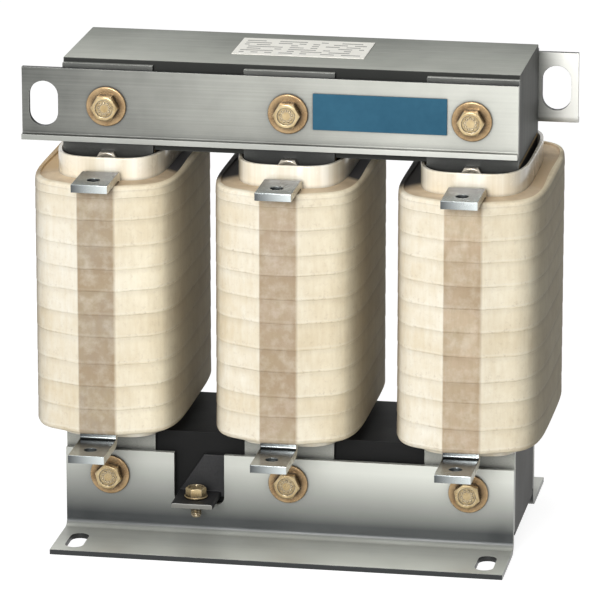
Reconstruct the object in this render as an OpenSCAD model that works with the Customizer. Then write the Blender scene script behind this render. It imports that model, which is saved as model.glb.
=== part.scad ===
// Three-phase line reactor: a three-limb iron core with taped coils, clamp rails and foot angles.
// Origin on the floor below the middle of the core, X along the core, Y to the rear, Z up. Millimetres.

/* [Core] */
// Width of each limb
limb_w = 50; // [42:1:60]
// Width of each window between two limbs
window_w = 50; // [44:1:70]
// Height of the windows
window_h = 159; // [130:1:220]
// Height of the top yoke and of the bottom yoke
yoke_h = 50; // [45:1:64]
// Depth of the lamination stack
core_depth = 75; // [64:1:100]
// Air gap between each limb and the top yoke
air_gap = 1.5; // [0.6:0.1:3]
// Height of the core's underside above the floor
core_lift = 9; // [6:1:14]

/* [Limb straps] */
// Thickness of the straps on the front and rear of the limbs
strap_t = 3; // [2:0.5:5]
// Distance of the strap ends from the core's top and underside
strap_inset = 2.5; // [1:0.5:5]

/* [Top rails] */
// Sheet thickness of the top rails
rail_t = 3; // [2:0.5:4]
// Height of the top rails
rail_h = 40; // [32:1:44]
// Length of rail that stands out past the core's end
rail_overhang = 22; // [21:1:36]
// How far the rail's lower lip stands out from its face
rail_lip = 3; // [2:0.5:6]
// Inside bend radius of the lip
rail_bend_r = 0.8; // [0.4:0.1:1.5]
// Width of the rail slot
rail_slot_w = 16; // [10:1:18]
// Height of the rail slot
rail_slot_h = 25; // [19:1:28]
// Distance of the slot's centre from the rail's free end
rail_slot_end = 12; // [11:0.5:18]

/* [Foot angles] */
// Sheet thickness of the foot angles
foot_t = 3; // [2:0.5:4]
// Height of the foot angle's upright web above the floor
foot_web_h = 48; // [44:1:50]
// Width of the flange, measured from the web's face
foot_flange = 44; // [38:1:60]
// Inside bend radius of the foot angle
foot_bend_r = 4; // [2:0.5:5]
// Width of the fixing slots in the flange
foot_slot_w = 10; // [7:0.5:12]
// Length of the fixing slots, along the depth
foot_slot_len = 24; // [16:1:26]
// Distance of the slots from the ends of the angle
foot_slot_end = 11.5; // [9:0.5:24]
// Distance of the slots' centre from the flange's front edge
foot_slot_edge = 18; // [15:0.5:22]
// Width of the notch in the web
notch_w = 28; // [26:1:36]
// Height of the notch's floor
notch_z = 19.5; // [12:0.5:21]
// Corner radius of the notch's floor
notch_r = 4; // [2:0.5:6]

/* [Coils] */
// Room between the limb's corners and the former's inside
former_corner_gap = 0.3; // [0.2:0.1:1]
// Wall of the coil former
former_wall = 2; // [1.5:0.1:3]
// Gap between the former's top and the top yoke
former_top_gap = 1; // [0.5:0.1:4]
// Thickness of the winding on the window sides
winding_side = 9; // [6:0.5:9.5]
// Thickness of the winding on the front and rear
winding_front = 14.6; // [10:0.2:20]
// Thickness of the tape wrap
wrap_t = 1.5; // [1:0.1:2]
// Chamfer of the tape wrap's edges
wrap_chamfer = 2.4; // [0.8:0.1:2.8]
// Gap between the bottom yoke and the coil's underside
coil_bottom_gap = 7; // [6:0.5:12]
// Gap between the coil's top and the top yoke
coil_top_gap = 12; // [9:0.5:20]
// Width of the wedges between limb and former
wedge_w = 30; // [16:1:36]
// Room between a wedge and the former
wedge_clear = 0.15; // [0.12:0.01:0.5]

/* [Terminal bars] */
// Width of the terminal bars
bar_w = 20; // [14:1:24]
// Thickness of the terminal bars
bar_t = 4.5; // [3:0.5:6]
// Inside bend radius of the terminal bars
bar_bend_r = 1.5; // [1:0.5:3]
// Sideways place of the bars from the limb's middle
bar_shift = 0; // [-6:0.5:6]
// Height of the start bar's lower end above the coil's underside
start_bar_rise = 20; // [8:1:60]
// Distance of the finish bar's upper end below the coil's top
finish_bar_drop = 10; // [6:1:60]
// Length of the top lug in front of the former
top_lug_len = 35; // [28:1:45]
// Length of the bottom lug in front of its upright
bottom_lug_len = 31; // [24:1:40]
// Drop of the bottom lug's top face below the coil
bottom_lug_drop = 2.6; // [2:0.2:3]
// Diameter of the lug holes
lug_hole_d = 7; // [5:0.5:9]
// Distance of the lug holes from the lug's tip
lug_hole_end = 11.5; // [8:0.5:14]

/* [Clamp bolts] */
// Diameter of the clamp bolts and limb bolts
bolt_d = 8; // [6:1:8]
// Room between a bolt and its hole, on the diameter
bolt_clear = 1; // [0.5:0.1:1.5]
// Width across flats of the heads and nuts
hex_af = 13; // [11:0.5:13.5]
// Height of the bolt heads
head_h = 5.3; // [4:0.1:6]
// Height of the nuts
nut_h = 6.5; // [5:0.1:8]
// Outside diameter of the washers
washer_d = 22; // [18:1:24]
// Thickness of the washers
washer_t = 2; // [1.5:0.1:3]
// Length of thread that stands out of the clamp nuts
bolt_end = 4; // [2:0.5:8]
// Distance of the upper limb bolts below the window's top
limb_bolt_drop = 7; // [6.5:0.5:10]
// Height of the lower limb bolts above the bottom yoke
limb_bolt_rise = 12; // [8:1:30]
// Length of thread that stands out of the limb nuts
limb_bolt_end = 3; // [1:0.5:5]

/* [Earthing] */
// Width of the earth tab
tab_w = 23; // [16:1:24]
// Height of the tab's top face above the floor
tab_z = 26; // [25:0.5:30]
// Length of the tab in front of the web's face
tab_len = 21.5; // [17:0.5:30]
// Sideways lean of the tab's left edge
tab_slant = 13.8; // [4:0.2:16]
// Gap between the tab and the middle limb's strap
tab_gap = 2; // [0.5:0.5:4]
// Distance of the tab's top edge below the web's top
tab_drop = 1; // [0.5:0.5:4]
// Diameter of the earth bolt
earth_d = 6; // [4:1:6]
// Width across flats of the earth bolt's head
earth_af = 10; // [8:0.5:11]
// Height of the earth bolt's head with its flange
earth_head_h = 6; // [5:0.5:8]
// Diameter of the earth bolt's flange
earth_flange_d = 13; // [12:0.5:14]
// Thickness of the earth bolt's flange
earth_flange_t = 1.4; // [1:0.1:2]
// Distance of the earth bolt from the tab's tip
earth_tip = 12.5; // [8:0.5:14]
// Length of the earth bolt below the tab
earth_end = 8; // [4:0.5:9]

/* [Plates] */
// Width of the front plate
plate_w = 73; // [40:1:75]
// Height of the front plate
plate_h = 20; // [12:1:24]
// Thickness of the front plate
plate_t = 0.8; // [0.4:0.1:1.5]
// Height of the front plate's middle above the bolts
plate_rise = 1.7; // [0:0.1:4]
// Width of the top label
label_w = 73; // [40:1:120]
// Depth of the top label
label_d = 39; // [20:1:44]
// Thickness of the top label
label_t = 0.3; // [0.2:0.05:0.6]
// Shift of the top label towards the rear
label_shift = 4.5; // [-2:0.5:4.5]

/* [Hidden] */
$fn = 48;
OUTLINE_POINTS = 72;
FORMER_POWER = 4;
COIL_POWER = 4.5;
LIMBS = [1, 2, 3];
MIDDLE_LIMB = 2;

// Turns of the hexagons about their bolts
TOP_TURNS = [0, 0, 0];
BOTTOM_TURNS = [14, 6, 20];
EARTH_TURN = 12;

// Largest share of the wrap's thickness that its chamfer may take
CHAMFER_LIMIT = 1.8;

// Share of the former's outline equation that the limb's corner takes along X
CORNER_SHARE = 0.66;

// Distance that a cut runs past the faces it opens
cut = 1;
pitch = limb_w + window_w;
core_w = 2 * pitch + limb_w;
window_z0 = core_lift + yoke_h;
window_z1 = window_z0 + window_h;
core_z1 = window_z1 + yoke_h;
clamp_z_low = core_lift + yoke_h / 2;
clamp_z_high = window_z1 + yoke_h / 2;
limb_bolt_z_low = window_z0 + limb_bolt_rise;
limb_bolt_z_high = window_z1 - limb_bolt_drop;
bolt_hole_d = bolt_d + bolt_clear;

// Faces along the depth, as distances from the middle plane
core_face = core_depth / 2;
strap_face = core_face + strap_t;
rail_face = strap_face + rail_t;
foot_face = strap_face + foot_t;
foot_front = foot_face + foot_flange;

former_in_a = (limb_w / 2 + former_corner_gap) / pow(CORNER_SHARE, 1 / FORMER_POWER);
former_in_b = (strap_face + former_corner_gap) / pow(1 - CORNER_SHARE, 1 / FORMER_POWER);
former_a = former_in_a + former_wall;
former_b = former_in_b + former_wall;
winding_a = former_a + winding_side;
winding_b = former_b + winding_front;
coil_z0 = window_z0 + coil_bottom_gap;
coil_z1 = window_z1 - coil_top_gap;
wrap_edge = min(wrap_chamfer, CHAMFER_LIMIT * wrap_t);
band_face = winding_b + bar_t + wrap_t;
start_bar_z0 = coil_z0 + start_bar_rise;
finish_bar_z1 = coil_z1 - finish_bar_drop;
bottom_lug_z1 = coil_z0 - bottom_lug_drop;
wedge_t = former_in_a - limb_w / 2 - wedge_clear;
notch_x = -pitch / 2;
tab_right = -limb_w / 2 - tab_gap;
tab_top = foot_web_h - tab_drop;
earth_y = -(foot_face + tab_len - earth_tip);

// Place of a limb's middle along the core
function limb_x(k) = (k - MIDDLE_LIMB) * pitch;

// Signed power, for the rounded outlines
function signed_power(v, p) = sign(v) * pow(abs(v), p);

// Rounded, slightly crowned outline with half sizes a and b
function crowned_outline(a, b, power) = [
    for (i = [0 : OUTLINE_POINTS - 1])
        let (turn = 360 * (i + 0.5) / OUTLINE_POINTS)
            [a * signed_power(cos(turn), 2 / power), b * signed_power(sin(turn), 2 / power)]
];

// Upright prism on a crowned outline
module crowned_prism(a, b, power, z0, z1) {
    translate([0, 0, z0])
        linear_extrude(z1 - z0)
            polygon(crowned_outline(a, b, power));
}

// Extrudes a profile drawn in depth and height along the core, centred
module along_core(length) {
    translate([-length / 2, 0, 0])
        rotate([90, 0, 90])
            linear_extrude(length)
                children();
}

// Bent strip: one leg stands up from the corner, the other runs out, with a round bend
module bent_strip(up, out, t, inner_r) {
    outer_r = inner_r + t;
    difference() {
        square([out, up]);
        translate([outer_r, t])
            square([out, up]);
        translate([t, outer_r])
            square([out, up]);
        translate([outer_r, outer_r])
            circle(inner_r);
        difference() {
            translate([-cut, -cut])
                square(outer_r + cut);
            translate([outer_r, outer_r])
                circle(outer_r);
        }
    }
}

// Bore through the depth of the core at one place
module depth_bore(x, z, d) {
    reach = foot_front + cut;
    translate([x, -reach, z])
        rotate([-90, 0, 0])
            cylinder(d = d, h = 2 * reach);
}

// Clamp bolt bores of all limbs at one height
module clamp_bores(z) {
    for (k = LIMBS)
        depth_bore(limb_x(k), z, bolt_hole_d);
}

// Slot with round ends, cut through along Z, long along Y
module long_slot(w, len, h) {
    straight = len - w;
    for (side = [-1, 1])
        translate([0, side * straight / 2, 0])
            cylinder(d = w, h = h);
    translate([-w / 2, -straight / 2, 0])
        cube([w, straight, h]);
}

module e_core_stack() {
    color("#4a4743")
        difference() {
            union() {
                translate([-core_w / 2, -core_face, core_lift])
                    cube([core_w, core_depth, yoke_h]);
                for (k = LIMBS)
                    translate([limb_x(k) - limb_w / 2, -core_face, core_lift])
                        cube([limb_w, core_depth, yoke_h + window_h - air_gap]);
            }
            clamp_bores(clamp_z_low);
            clamp_bores(limb_bolt_z_low);
            clamp_bores(limb_bolt_z_high);
        }
}

module top_yoke_stack() {
    color("#9a9b96")
        difference() {
            translate([-core_w / 2, -core_face, window_z1])
                cube([core_w, core_depth, yoke_h]);
            clamp_bores(clamp_z_high);
        }
}

module air_gap_spacer(k) {
    color("#c9b47c")
        translate([limb_x(k) - limb_w / 2, -core_face, window_z1 - air_gap])
            cube([limb_w, core_depth, air_gap]);
}

// Strap on the front of a limb, full width of the limb
module front_strap(k) {
    color("#a9aaa4")
        difference() {
            translate([limb_x(k) - limb_w / 2, -strap_face, core_lift + strap_inset])
                cube([limb_w, strap_t, core_z1 - core_lift - 2 * strap_inset]);
            for (z = [clamp_z_low, limb_bolt_z_low, limb_bolt_z_high, clamp_z_high])
                depth_bore(limb_x(k), z, bolt_hole_d);
        }
}

module rear_strap(k) {
    mirror([0, 1, 0])
        front_strap(k);
}

// Folded top rail with its lip and end slot
module front_top_rail() {
    free_end = -(core_w / 2 + rail_overhang);
    length = core_w + rail_overhang;
    color("#b4b5ae")
        difference() {
            translate([free_end + length / 2, -strap_face, clamp_z_high - rail_h / 2])
                mirror([0, 1, 0])
                    along_core(length)
                        bent_strip(rail_h, rail_t + rail_lip, rail_t, rail_bend_r);
            clamp_bores(clamp_z_high);
            translate([free_end + rail_slot_end, -strap_face + cut, clamp_z_high])
                rotate([90, 0, 0])
                    long_slot(rail_slot_w, rail_slot_h, rail_t + 2 * cut);
        }
}

module rear_top_rail() {
    rotate([0, 0, 180])
        front_top_rail();
}

// Notch in the upright web, open at the top, with round floor corners
module web_notch() {
    height = foot_web_h - notch_z + cut;
    half = notch_w / 2;
    translate([notch_x, -strap_face + cut, notch_z])
        rotate([90, 0, 0])
            linear_extrude(foot_t + 2 * cut) {
                translate([-half, notch_r])
                    square([notch_w, height - notch_r]);
                translate([-half + notch_r, 0])
                    square([notch_w - 2 * notch_r, height]);
                for (side = [-1, 1])
                    translate([side * (half - notch_r), notch_r])
                        circle(notch_r);
            }
}

// Folded foot angle with slotted flange
module front_foot_angle() {
    color("#a3a49f")
        difference() {
            translate([0, -strap_face, 0])
                mirror([0, 1, 0])
                    along_core(core_w)
                        bent_strip(foot_web_h, foot_t + foot_flange, foot_t, foot_bend_r);
            clamp_bores(clamp_z_low);
            web_notch();
            for (side = [-1, 1])
                translate([side * (core_w / 2 - foot_slot_end), -foot_front + foot_slot_edge, -cut])
                    long_slot(foot_slot_w, foot_slot_len, foot_t + 2 * cut);
        }
}

module rear_foot_angle() {
    rotate([0, 0, 180])
        front_foot_angle();
}

module coil_former(k) {
    color("#efe6cf")
        translate([limb_x(k), 0, 0])
            difference() {
                crowned_prism(former_a, former_b, FORMER_POWER, window_z0, window_z1 - former_top_gap);
                crowned_prism(former_in_a, former_in_b, FORMER_POWER, window_z0 - cut, window_z1 + cut);
            }
}

// Pair of wedges that hold the coil on its limb
module coil_wedges(k) {
    color("#b98d52")
        translate([limb_x(k), 0, coil_z0])
            for (turn = [0, 180])
                rotate([0, 0, turn])
                    translate([limb_w / 2, -wedge_w / 2, 0])
                        cube([wedge_t, wedge_w, coil_z1 - coil_z0]);
}

// Room of the winding's start bar: its upright along the former and its bend at the coil's top
module start_bar_room(k) {
    into_former = former_wall / 2;
    translate([limb_x(k) + bar_shift - bar_w / 2, 0, 0]) {
        translate([0, -former_b - bar_t, start_bar_z0])
            cube([bar_w, bar_t + into_former, window_z1 - start_bar_z0]);
        translate([0, -former_b - bar_t - bar_bend_r, coil_z1 - bar_bend_r])
            cube([bar_w, bar_t, bar_bend_r + cut]);
    }
}

// Room of the upright of the winding's finish bar, on the coil's front
module finish_bar_room(k) {
    translate([limb_x(k) + bar_shift - bar_w / 2, -winding_b - bar_t, window_z0])
        cube([bar_w, bar_t, finish_bar_z1 - window_z0]);
}

module winding(k) {
    color("#b87333")
        difference() {
            translate([limb_x(k), 0, 0])
                difference() {
                    crowned_prism(winding_a, winding_b, COIL_POWER, coil_z0 + wrap_t, coil_z1 - wrap_t);
                    crowned_prism(former_a, former_b, FORMER_POWER, coil_z0 - cut, coil_z1 + cut);
                }
            start_bar_room(k);
        }
}

// Block of the wrap's outside: the coil's outline, shrunk, between two heights
module wrap_block(shrink) {
    crowned_prism(
        winding_a + wrap_t - shrink,
        winding_b + wrap_t - shrink,
        COIL_POWER,
        coil_z0 + wrap_edge - shrink,
        coil_z1 - wrap_edge + shrink
    );
}

// Tape wrap, drawn tight over the winding and the finish bar
module tape_wrap(k) {
    color("#f0e4c4")
        difference() {
            translate([limb_x(k), 0, 0])
                difference() {
                    hull() {
                        wrap_block(0);
                        wrap_block(wrap_edge);
                        translate([bar_shift - bar_w / 2, -band_face, coil_z0])
                            cube([bar_w, bar_t, coil_z1 - coil_z0]);
                    }
                    crowned_prism(winding_a, winding_b, COIL_POWER, coil_z0 + wrap_t, coil_z1 - wrap_t);
                    crowned_prism(former_a, former_b, FORMER_POWER, coil_z0 - cut, coil_z1 + cut);
                }
            start_bar_room(k);
            finish_bar_room(k);
        }
}

// Upright bore of a lug hole
module lug_bore(k, tip, z) {
    translate([limb_x(k) + bar_shift, -tip + lug_hole_end, z - cut])
        cylinder(d = lug_hole_d, h = bar_t + 2 * cut);
}

// Winding start: up along the former, then forward over the coil
module top_terminal(k) {
    color("#c9c8c6")
        difference() {
            translate([limb_x(k) + bar_shift, -former_b, coil_z1 + bar_t])
                mirror([0, 1, 0])
                    mirror([0, 0, 1])
                        along_core(bar_w)
                            bent_strip(coil_z1 + bar_t - start_bar_z0, top_lug_len, bar_t, bar_bend_r);
            lug_bore(k, former_b + top_lug_len, coil_z1);
        }
}

// Winding finish: down the coil's front under the wrap, then forward
module bottom_terminal(k) {
    lug_z0 = bottom_lug_z1 - bar_t;
    color("#c9c8c6")
        difference() {
            translate([limb_x(k) + bar_shift, -winding_b, lug_z0])
                mirror([0, 1, 0])
                    along_core(bar_w)
                        bent_strip(finish_bar_z1 - lug_z0, bar_t + bottom_lug_len, bar_t, bar_bend_r);
            lug_bore(k, winding_b + bar_t + bottom_lug_len, lug_z0);
        }
}

// Hexagon prism that points to the front, flats level when unturned
module front_hex(af, h, turn) {
    rotate([90, turn, 0])
        cylinder(d = af / cos(30), h = h, $fn = 6);
}

// Bolt along the depth: head in front of the front seat, thread end behind the rear nut
module depth_bolt(x, z, seat, thread_end, turn) {
    translate([x, -seat, z]) {
        front_hex(hex_af, head_h, turn);
        rotate([-90, 0, 0])
            cylinder(d = bolt_d, h = 2 * seat + nut_h + thread_end);
    }
}

// Nut behind a rear seat
module depth_nut(x, z, seat, turn) {
    translate([x, seat + nut_h, z])
        difference() {
            front_hex(hex_af, nut_h, turn);
            translate([0, cut, 0])
                rotate([90, 0, 0])
                    cylinder(d = bolt_d, h = nut_h + 2 * cut);
        }
}

// Washers of one row of clamp bolts, front and rear
module clamp_washers(z, seat) {
    color("#c9a45c")
        for (k = LIMBS)
            for (y = [-seat, seat + washer_t])
                translate([limb_x(k), y, z])
                    rotate([90, 0, 0])
                        difference() {
                            cylinder(d = washer_d, h = washer_t);
                            translate([0, 0, -cut])
                                cylinder(d = bolt_hole_d, h = washer_t + 2 * cut);
                        }
}

module clamp_bolts(z, seat, turns) {
    color("#c9a45c")
        for (k = LIMBS)
            depth_bolt(limb_x(k), z, seat + washer_t, bolt_end, turns[k - 1]);
}

module clamp_nuts(z, seat, turns) {
    color("#c9a45c")
        for (k = LIMBS)
            depth_nut(limb_x(k), z, seat + washer_t, turns[k - 1]);
}

module limb_bolts() {
    color("#c9a45c")
        for (k = LIMBS)
            for (z = [limb_bolt_z_low, limb_bolt_z_high])
                depth_bolt(limb_x(k), z, strap_face, limb_bolt_end, 0);
}

module limb_bolt_nuts() {
    color("#c9a45c")
        for (k = LIMBS)
            for (z = [limb_bolt_z_low, limb_bolt_z_high])
                depth_nut(limb_x(k), z, strap_face, 0);
}

// Earth tab: a slanted plate behind the web, bent forward through the notch
module earth_tab() {
    left = notch_x - tab_w / 2;
    bottom = tab_z - strap_t;
    color("#55565a")
        difference() {
            union() {
                translate([0, -core_face, 0])
                    rotate([90, 0, 0])
                        linear_extrude(strap_t)
                            polygon([
                                [left, bottom],
                                [tab_right, bottom],
                                [tab_right, tab_top],
                                [left + tab_slant, tab_top],
                                [left, tab_z]
                            ]);
                translate([left, -foot_face - tab_len, bottom])
                    cube([tab_w, foot_t + tab_len + strap_t, strap_t]);
            }
            translate([notch_x, earth_y, bottom - cut])
                cylinder(d = earth_d, h = strap_t + 2 * cut);
        }
}

// Flanged earth bolt, screwed down through the tab
module earth_bolt() {
    color("#c9a45c")
        translate([notch_x, earth_y, tab_z]) {
            cylinder(d = earth_flange_d, h = earth_flange_t);
            rotate([0, 0, EARTH_TURN])
                cylinder(d = earth_af / cos(30), h = earth_head_h, $fn = 6);
            translate([0, 0, -strap_t - earth_end])
                cylinder(d = earth_d, h = strap_t + earth_end);
        }
}

module front_plate() {
    color("#2f5f8a")
        translate([(pitch - plate_w) / 2, -rail_face - plate_t, clamp_z_high + plate_rise - plate_h / 2])
            cube([plate_w, plate_t, plate_h]);
}

module top_label() {
    color("#e4e4de")
        translate([-label_w / 2, label_shift - label_d / 2, core_z1])
            cube([label_w, label_d, label_t]);
}

e_core_stack();
top_yoke_stack();
for (k = LIMBS) {
    air_gap_spacer(k);
    front_strap(k);
    rear_strap(k);
    coil_former(k);
    coil_wedges(k);
    winding(k);
    tape_wrap(k);
    top_terminal(k);
    bottom_terminal(k);
}
front_top_rail();
rear_top_rail();
front_foot_angle();
rear_foot_angle();
clamp_bolts(clamp_z_high, rail_face, TOP_TURNS);  // top_clamp_bolts
clamp_bolts(clamp_z_low, foot_face, BOTTOM_TURNS);  // bottom_clamp_bolts
clamp_washers(clamp_z_high, rail_face);  // top_clamp_washers
clamp_washers(clamp_z_low, foot_face);  // bottom_clamp_washers
clamp_nuts(clamp_z_high, rail_face, TOP_TURNS);  // top_clamp_nuts
clamp_nuts(clamp_z_low, foot_face, BOTTOM_TURNS);  // bottom_clamp_nuts
limb_bolts();
limb_bolt_nuts();
earth_tab();
earth_bolt();
front_plate();
top_label();
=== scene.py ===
"""Looks of a three-phase line reactor: taped coils, bar terminals, sheet frame, fasteners and studio."""

import logging
import math
import random
from abc import ABC, abstractmethod
from collections.abc import Callable, Iterator
from contextlib import contextmanager
from dataclasses import dataclass, replace
from enum import Enum

import bmesh
import bpy
from mathutils import Matrix, Vector


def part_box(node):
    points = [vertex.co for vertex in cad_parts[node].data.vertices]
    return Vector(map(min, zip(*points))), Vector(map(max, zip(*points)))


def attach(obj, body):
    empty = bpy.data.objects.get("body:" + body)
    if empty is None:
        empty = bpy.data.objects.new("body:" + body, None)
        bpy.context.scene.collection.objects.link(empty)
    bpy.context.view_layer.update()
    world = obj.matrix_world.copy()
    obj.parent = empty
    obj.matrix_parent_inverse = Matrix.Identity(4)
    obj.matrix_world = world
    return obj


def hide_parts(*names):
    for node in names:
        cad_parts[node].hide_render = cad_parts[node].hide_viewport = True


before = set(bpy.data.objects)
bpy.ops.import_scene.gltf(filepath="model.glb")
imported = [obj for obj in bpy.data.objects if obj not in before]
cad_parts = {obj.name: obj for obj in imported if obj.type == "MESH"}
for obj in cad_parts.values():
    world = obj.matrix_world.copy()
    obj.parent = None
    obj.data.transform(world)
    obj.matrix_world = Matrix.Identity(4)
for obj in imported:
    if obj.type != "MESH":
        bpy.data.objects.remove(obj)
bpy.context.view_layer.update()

LOG = logging.getLogger("line_reactor")
MM = 0.001
BODY = "root"
COLUMNS = (1, 2, 3)
TAPE_SEED = 40
# Turn numbers past the last real turn, which mark a coil's rim and its top ledge in the tape's map
RIM_TURN = 38.0
LEDGE_TURN = 40.0
SAME_POINT = 1e-6

Colour = tuple[float, float, float, float]
Span = tuple[float, float]
Way = tuple[int, int, int]
Piece = bpy.types.Object
Node = bpy.types.Node
Tree = bpy.types.NodeTree
Socket = bpy.types.NodeSocket

TO_VIEWER: Way = (0, -1, 0)
TO_BACK: Way = (0, 1, 0)
UPWARDS: Way = (0, 0, 1)
TO_RIGHT: Way = (1, 0, 0)


def tint(red: int, green: int, blue: int) -> Colour:
    """Turn a screen colour, its parts from 0 to 255, into the linear colour that a shader takes."""
    shares = (channel / 255 for channel in (red, green, blue))
    linear = (s / 12.92 if s <= 0.04045 else ((s + 0.055) / 1.055) ** 2.4 for s in shares)
    return (*linear, 1.0)


class Bench:
    """Selection, edit mode, modifiers and copies for one piece at a time."""

    @staticmethod
    def pick(*pieces: Piece) -> None:
        """Make the given pieces the only selected ones, the first of them active."""
        bpy.ops.object.select_all(action="DESELECT")
        for piece in pieces:
            piece.select_set(True)
        bpy.context.view_layer.objects.active = pieces[0]

    @staticmethod
    def add(name: str, primitive: Callable, **settings: object) -> Piece:
        """Add a primitive with nothing else selected and put its place into its mesh.

        Args:
            name: Name of the new piece.
            primitive: Blender's operator that adds it.
            **settings: Its sizes and place.

        Returns:
            The piece, at the origin, unturned and unscaled.
        """
        bpy.ops.object.select_all(action="DESELECT")
        primitive(**settings)
        piece = bpy.context.object
        piece.name = name
        piece.data.name = name
        bpy.ops.object.transform_apply(location=True, rotation=True, scale=True)
        return piece

    @staticmethod
    @contextmanager
    def editing(piece: Piece) -> Iterator[None]:
        """Open a piece in edit mode with all of it selected, and close it again."""
        Bench.pick(piece)
        bpy.ops.object.mode_set(mode="EDIT")
        bpy.ops.mesh.select_all(action="SELECT")
        yield
        bpy.ops.object.mode_set(mode="OBJECT")

    @staticmethod
    def choose_edges(piece: Piece, test: Callable[[bmesh.types.BMEdge], bool]) -> None:
        """Select the edges that pass a test, on a piece that is open in edit mode."""
        bpy.ops.mesh.select_mode(type="EDGE")
        bpy.ops.mesh.select_all(action="DESELECT")
        mesh = bmesh.from_edit_mesh(piece.data)
        for edge in mesh.edges:
            edge.select_set(test(edge))
        bmesh.update_edit_mesh(piece.data)

    @staticmethod
    def apply(piece: Piece, kind: str, **settings: object) -> None:
        """Add a modifier of Blender's kind to a piece, set its properties and apply it."""
        Bench.pick(piece)
        modifier = piece.modifiers.new(kind.lower(), kind)
        for name, value in settings.items():
            setattr(modifier, name, value)
        bpy.ops.object.modifier_apply(modifier=modifier.name)

    @staticmethod
    def carve(piece: Piece, tool: Piece, operation: str) -> None:
        """Combine a piece with a tool by DIFFERENCE or INTERSECT, and delete the tool."""
        Bench.apply(piece, "BOOLEAN", object=tool, operation=operation, solver="EXACT")
        bpy.data.objects.remove(tool)

    @staticmethod
    def soften(piece: Piece, width: float, segments: int = 2, angle: float = 30.0) -> None:
        """Round the sharp edges of a piece and shade its curved faces smoothly.

        Args:
            piece: The piece to finish.
            width: Width of the rounding.
            segments: Faces across the rounding.
            angle: Edges sharper than this many degrees are rounded.
        """
        Bench.apply(piece, "BEVEL", width=width, segments=segments, limit_method="ANGLE",
                    angle_limit=math.radians(angle), harden_normals=False, miter_outer="MITER_ARC")
        Bench.smooth(piece)
        Bench.apply(piece, "WEIGHTED_NORMAL", mode="FACE_AREA", weight=100, keep_sharp=True)

    @staticmethod
    def smooth(piece: Piece, angle: float = 35.0) -> None:
        """Shade a piece smoothly across edges that are flatter than an angle in degrees."""
        Bench.pick(piece)
        bpy.ops.object.shade_smooth_by_angle(angle=math.radians(angle))

    @staticmethod
    def close_up(piece: Piece) -> None:
        """Merge the seam points of a piece and turn its faces outwards."""
        with Bench.editing(piece):
            bpy.ops.mesh.remove_doubles(threshold=SAME_POINT)
            bpy.ops.mesh.select_all(action="SELECT")
            bpy.ops.mesh.normals_make_consistent(inside=False)

    @staticmethod
    def copy_of(piece: Piece, name: str, place: Matrix) -> Piece:
        """Copy a piece with a mesh of its own, and work the copy's place into that mesh."""
        twin = bpy.data.objects.new(name, piece.data.copy())
        twin.data.transform(place)
        bpy.context.scene.collection.objects.link(twin)
        return twin

    @staticmethod
    def join(name: str, pieces: list[Piece]) -> Piece:
        """Join pieces that are at the origin into one object."""
        Bench.pick(*pieces)
        if len(pieces) > 1:
            bpy.ops.object.join()
        joined = bpy.context.view_layer.objects.active
        joined.name = name
        joined.data.name = name
        return joined


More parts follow.
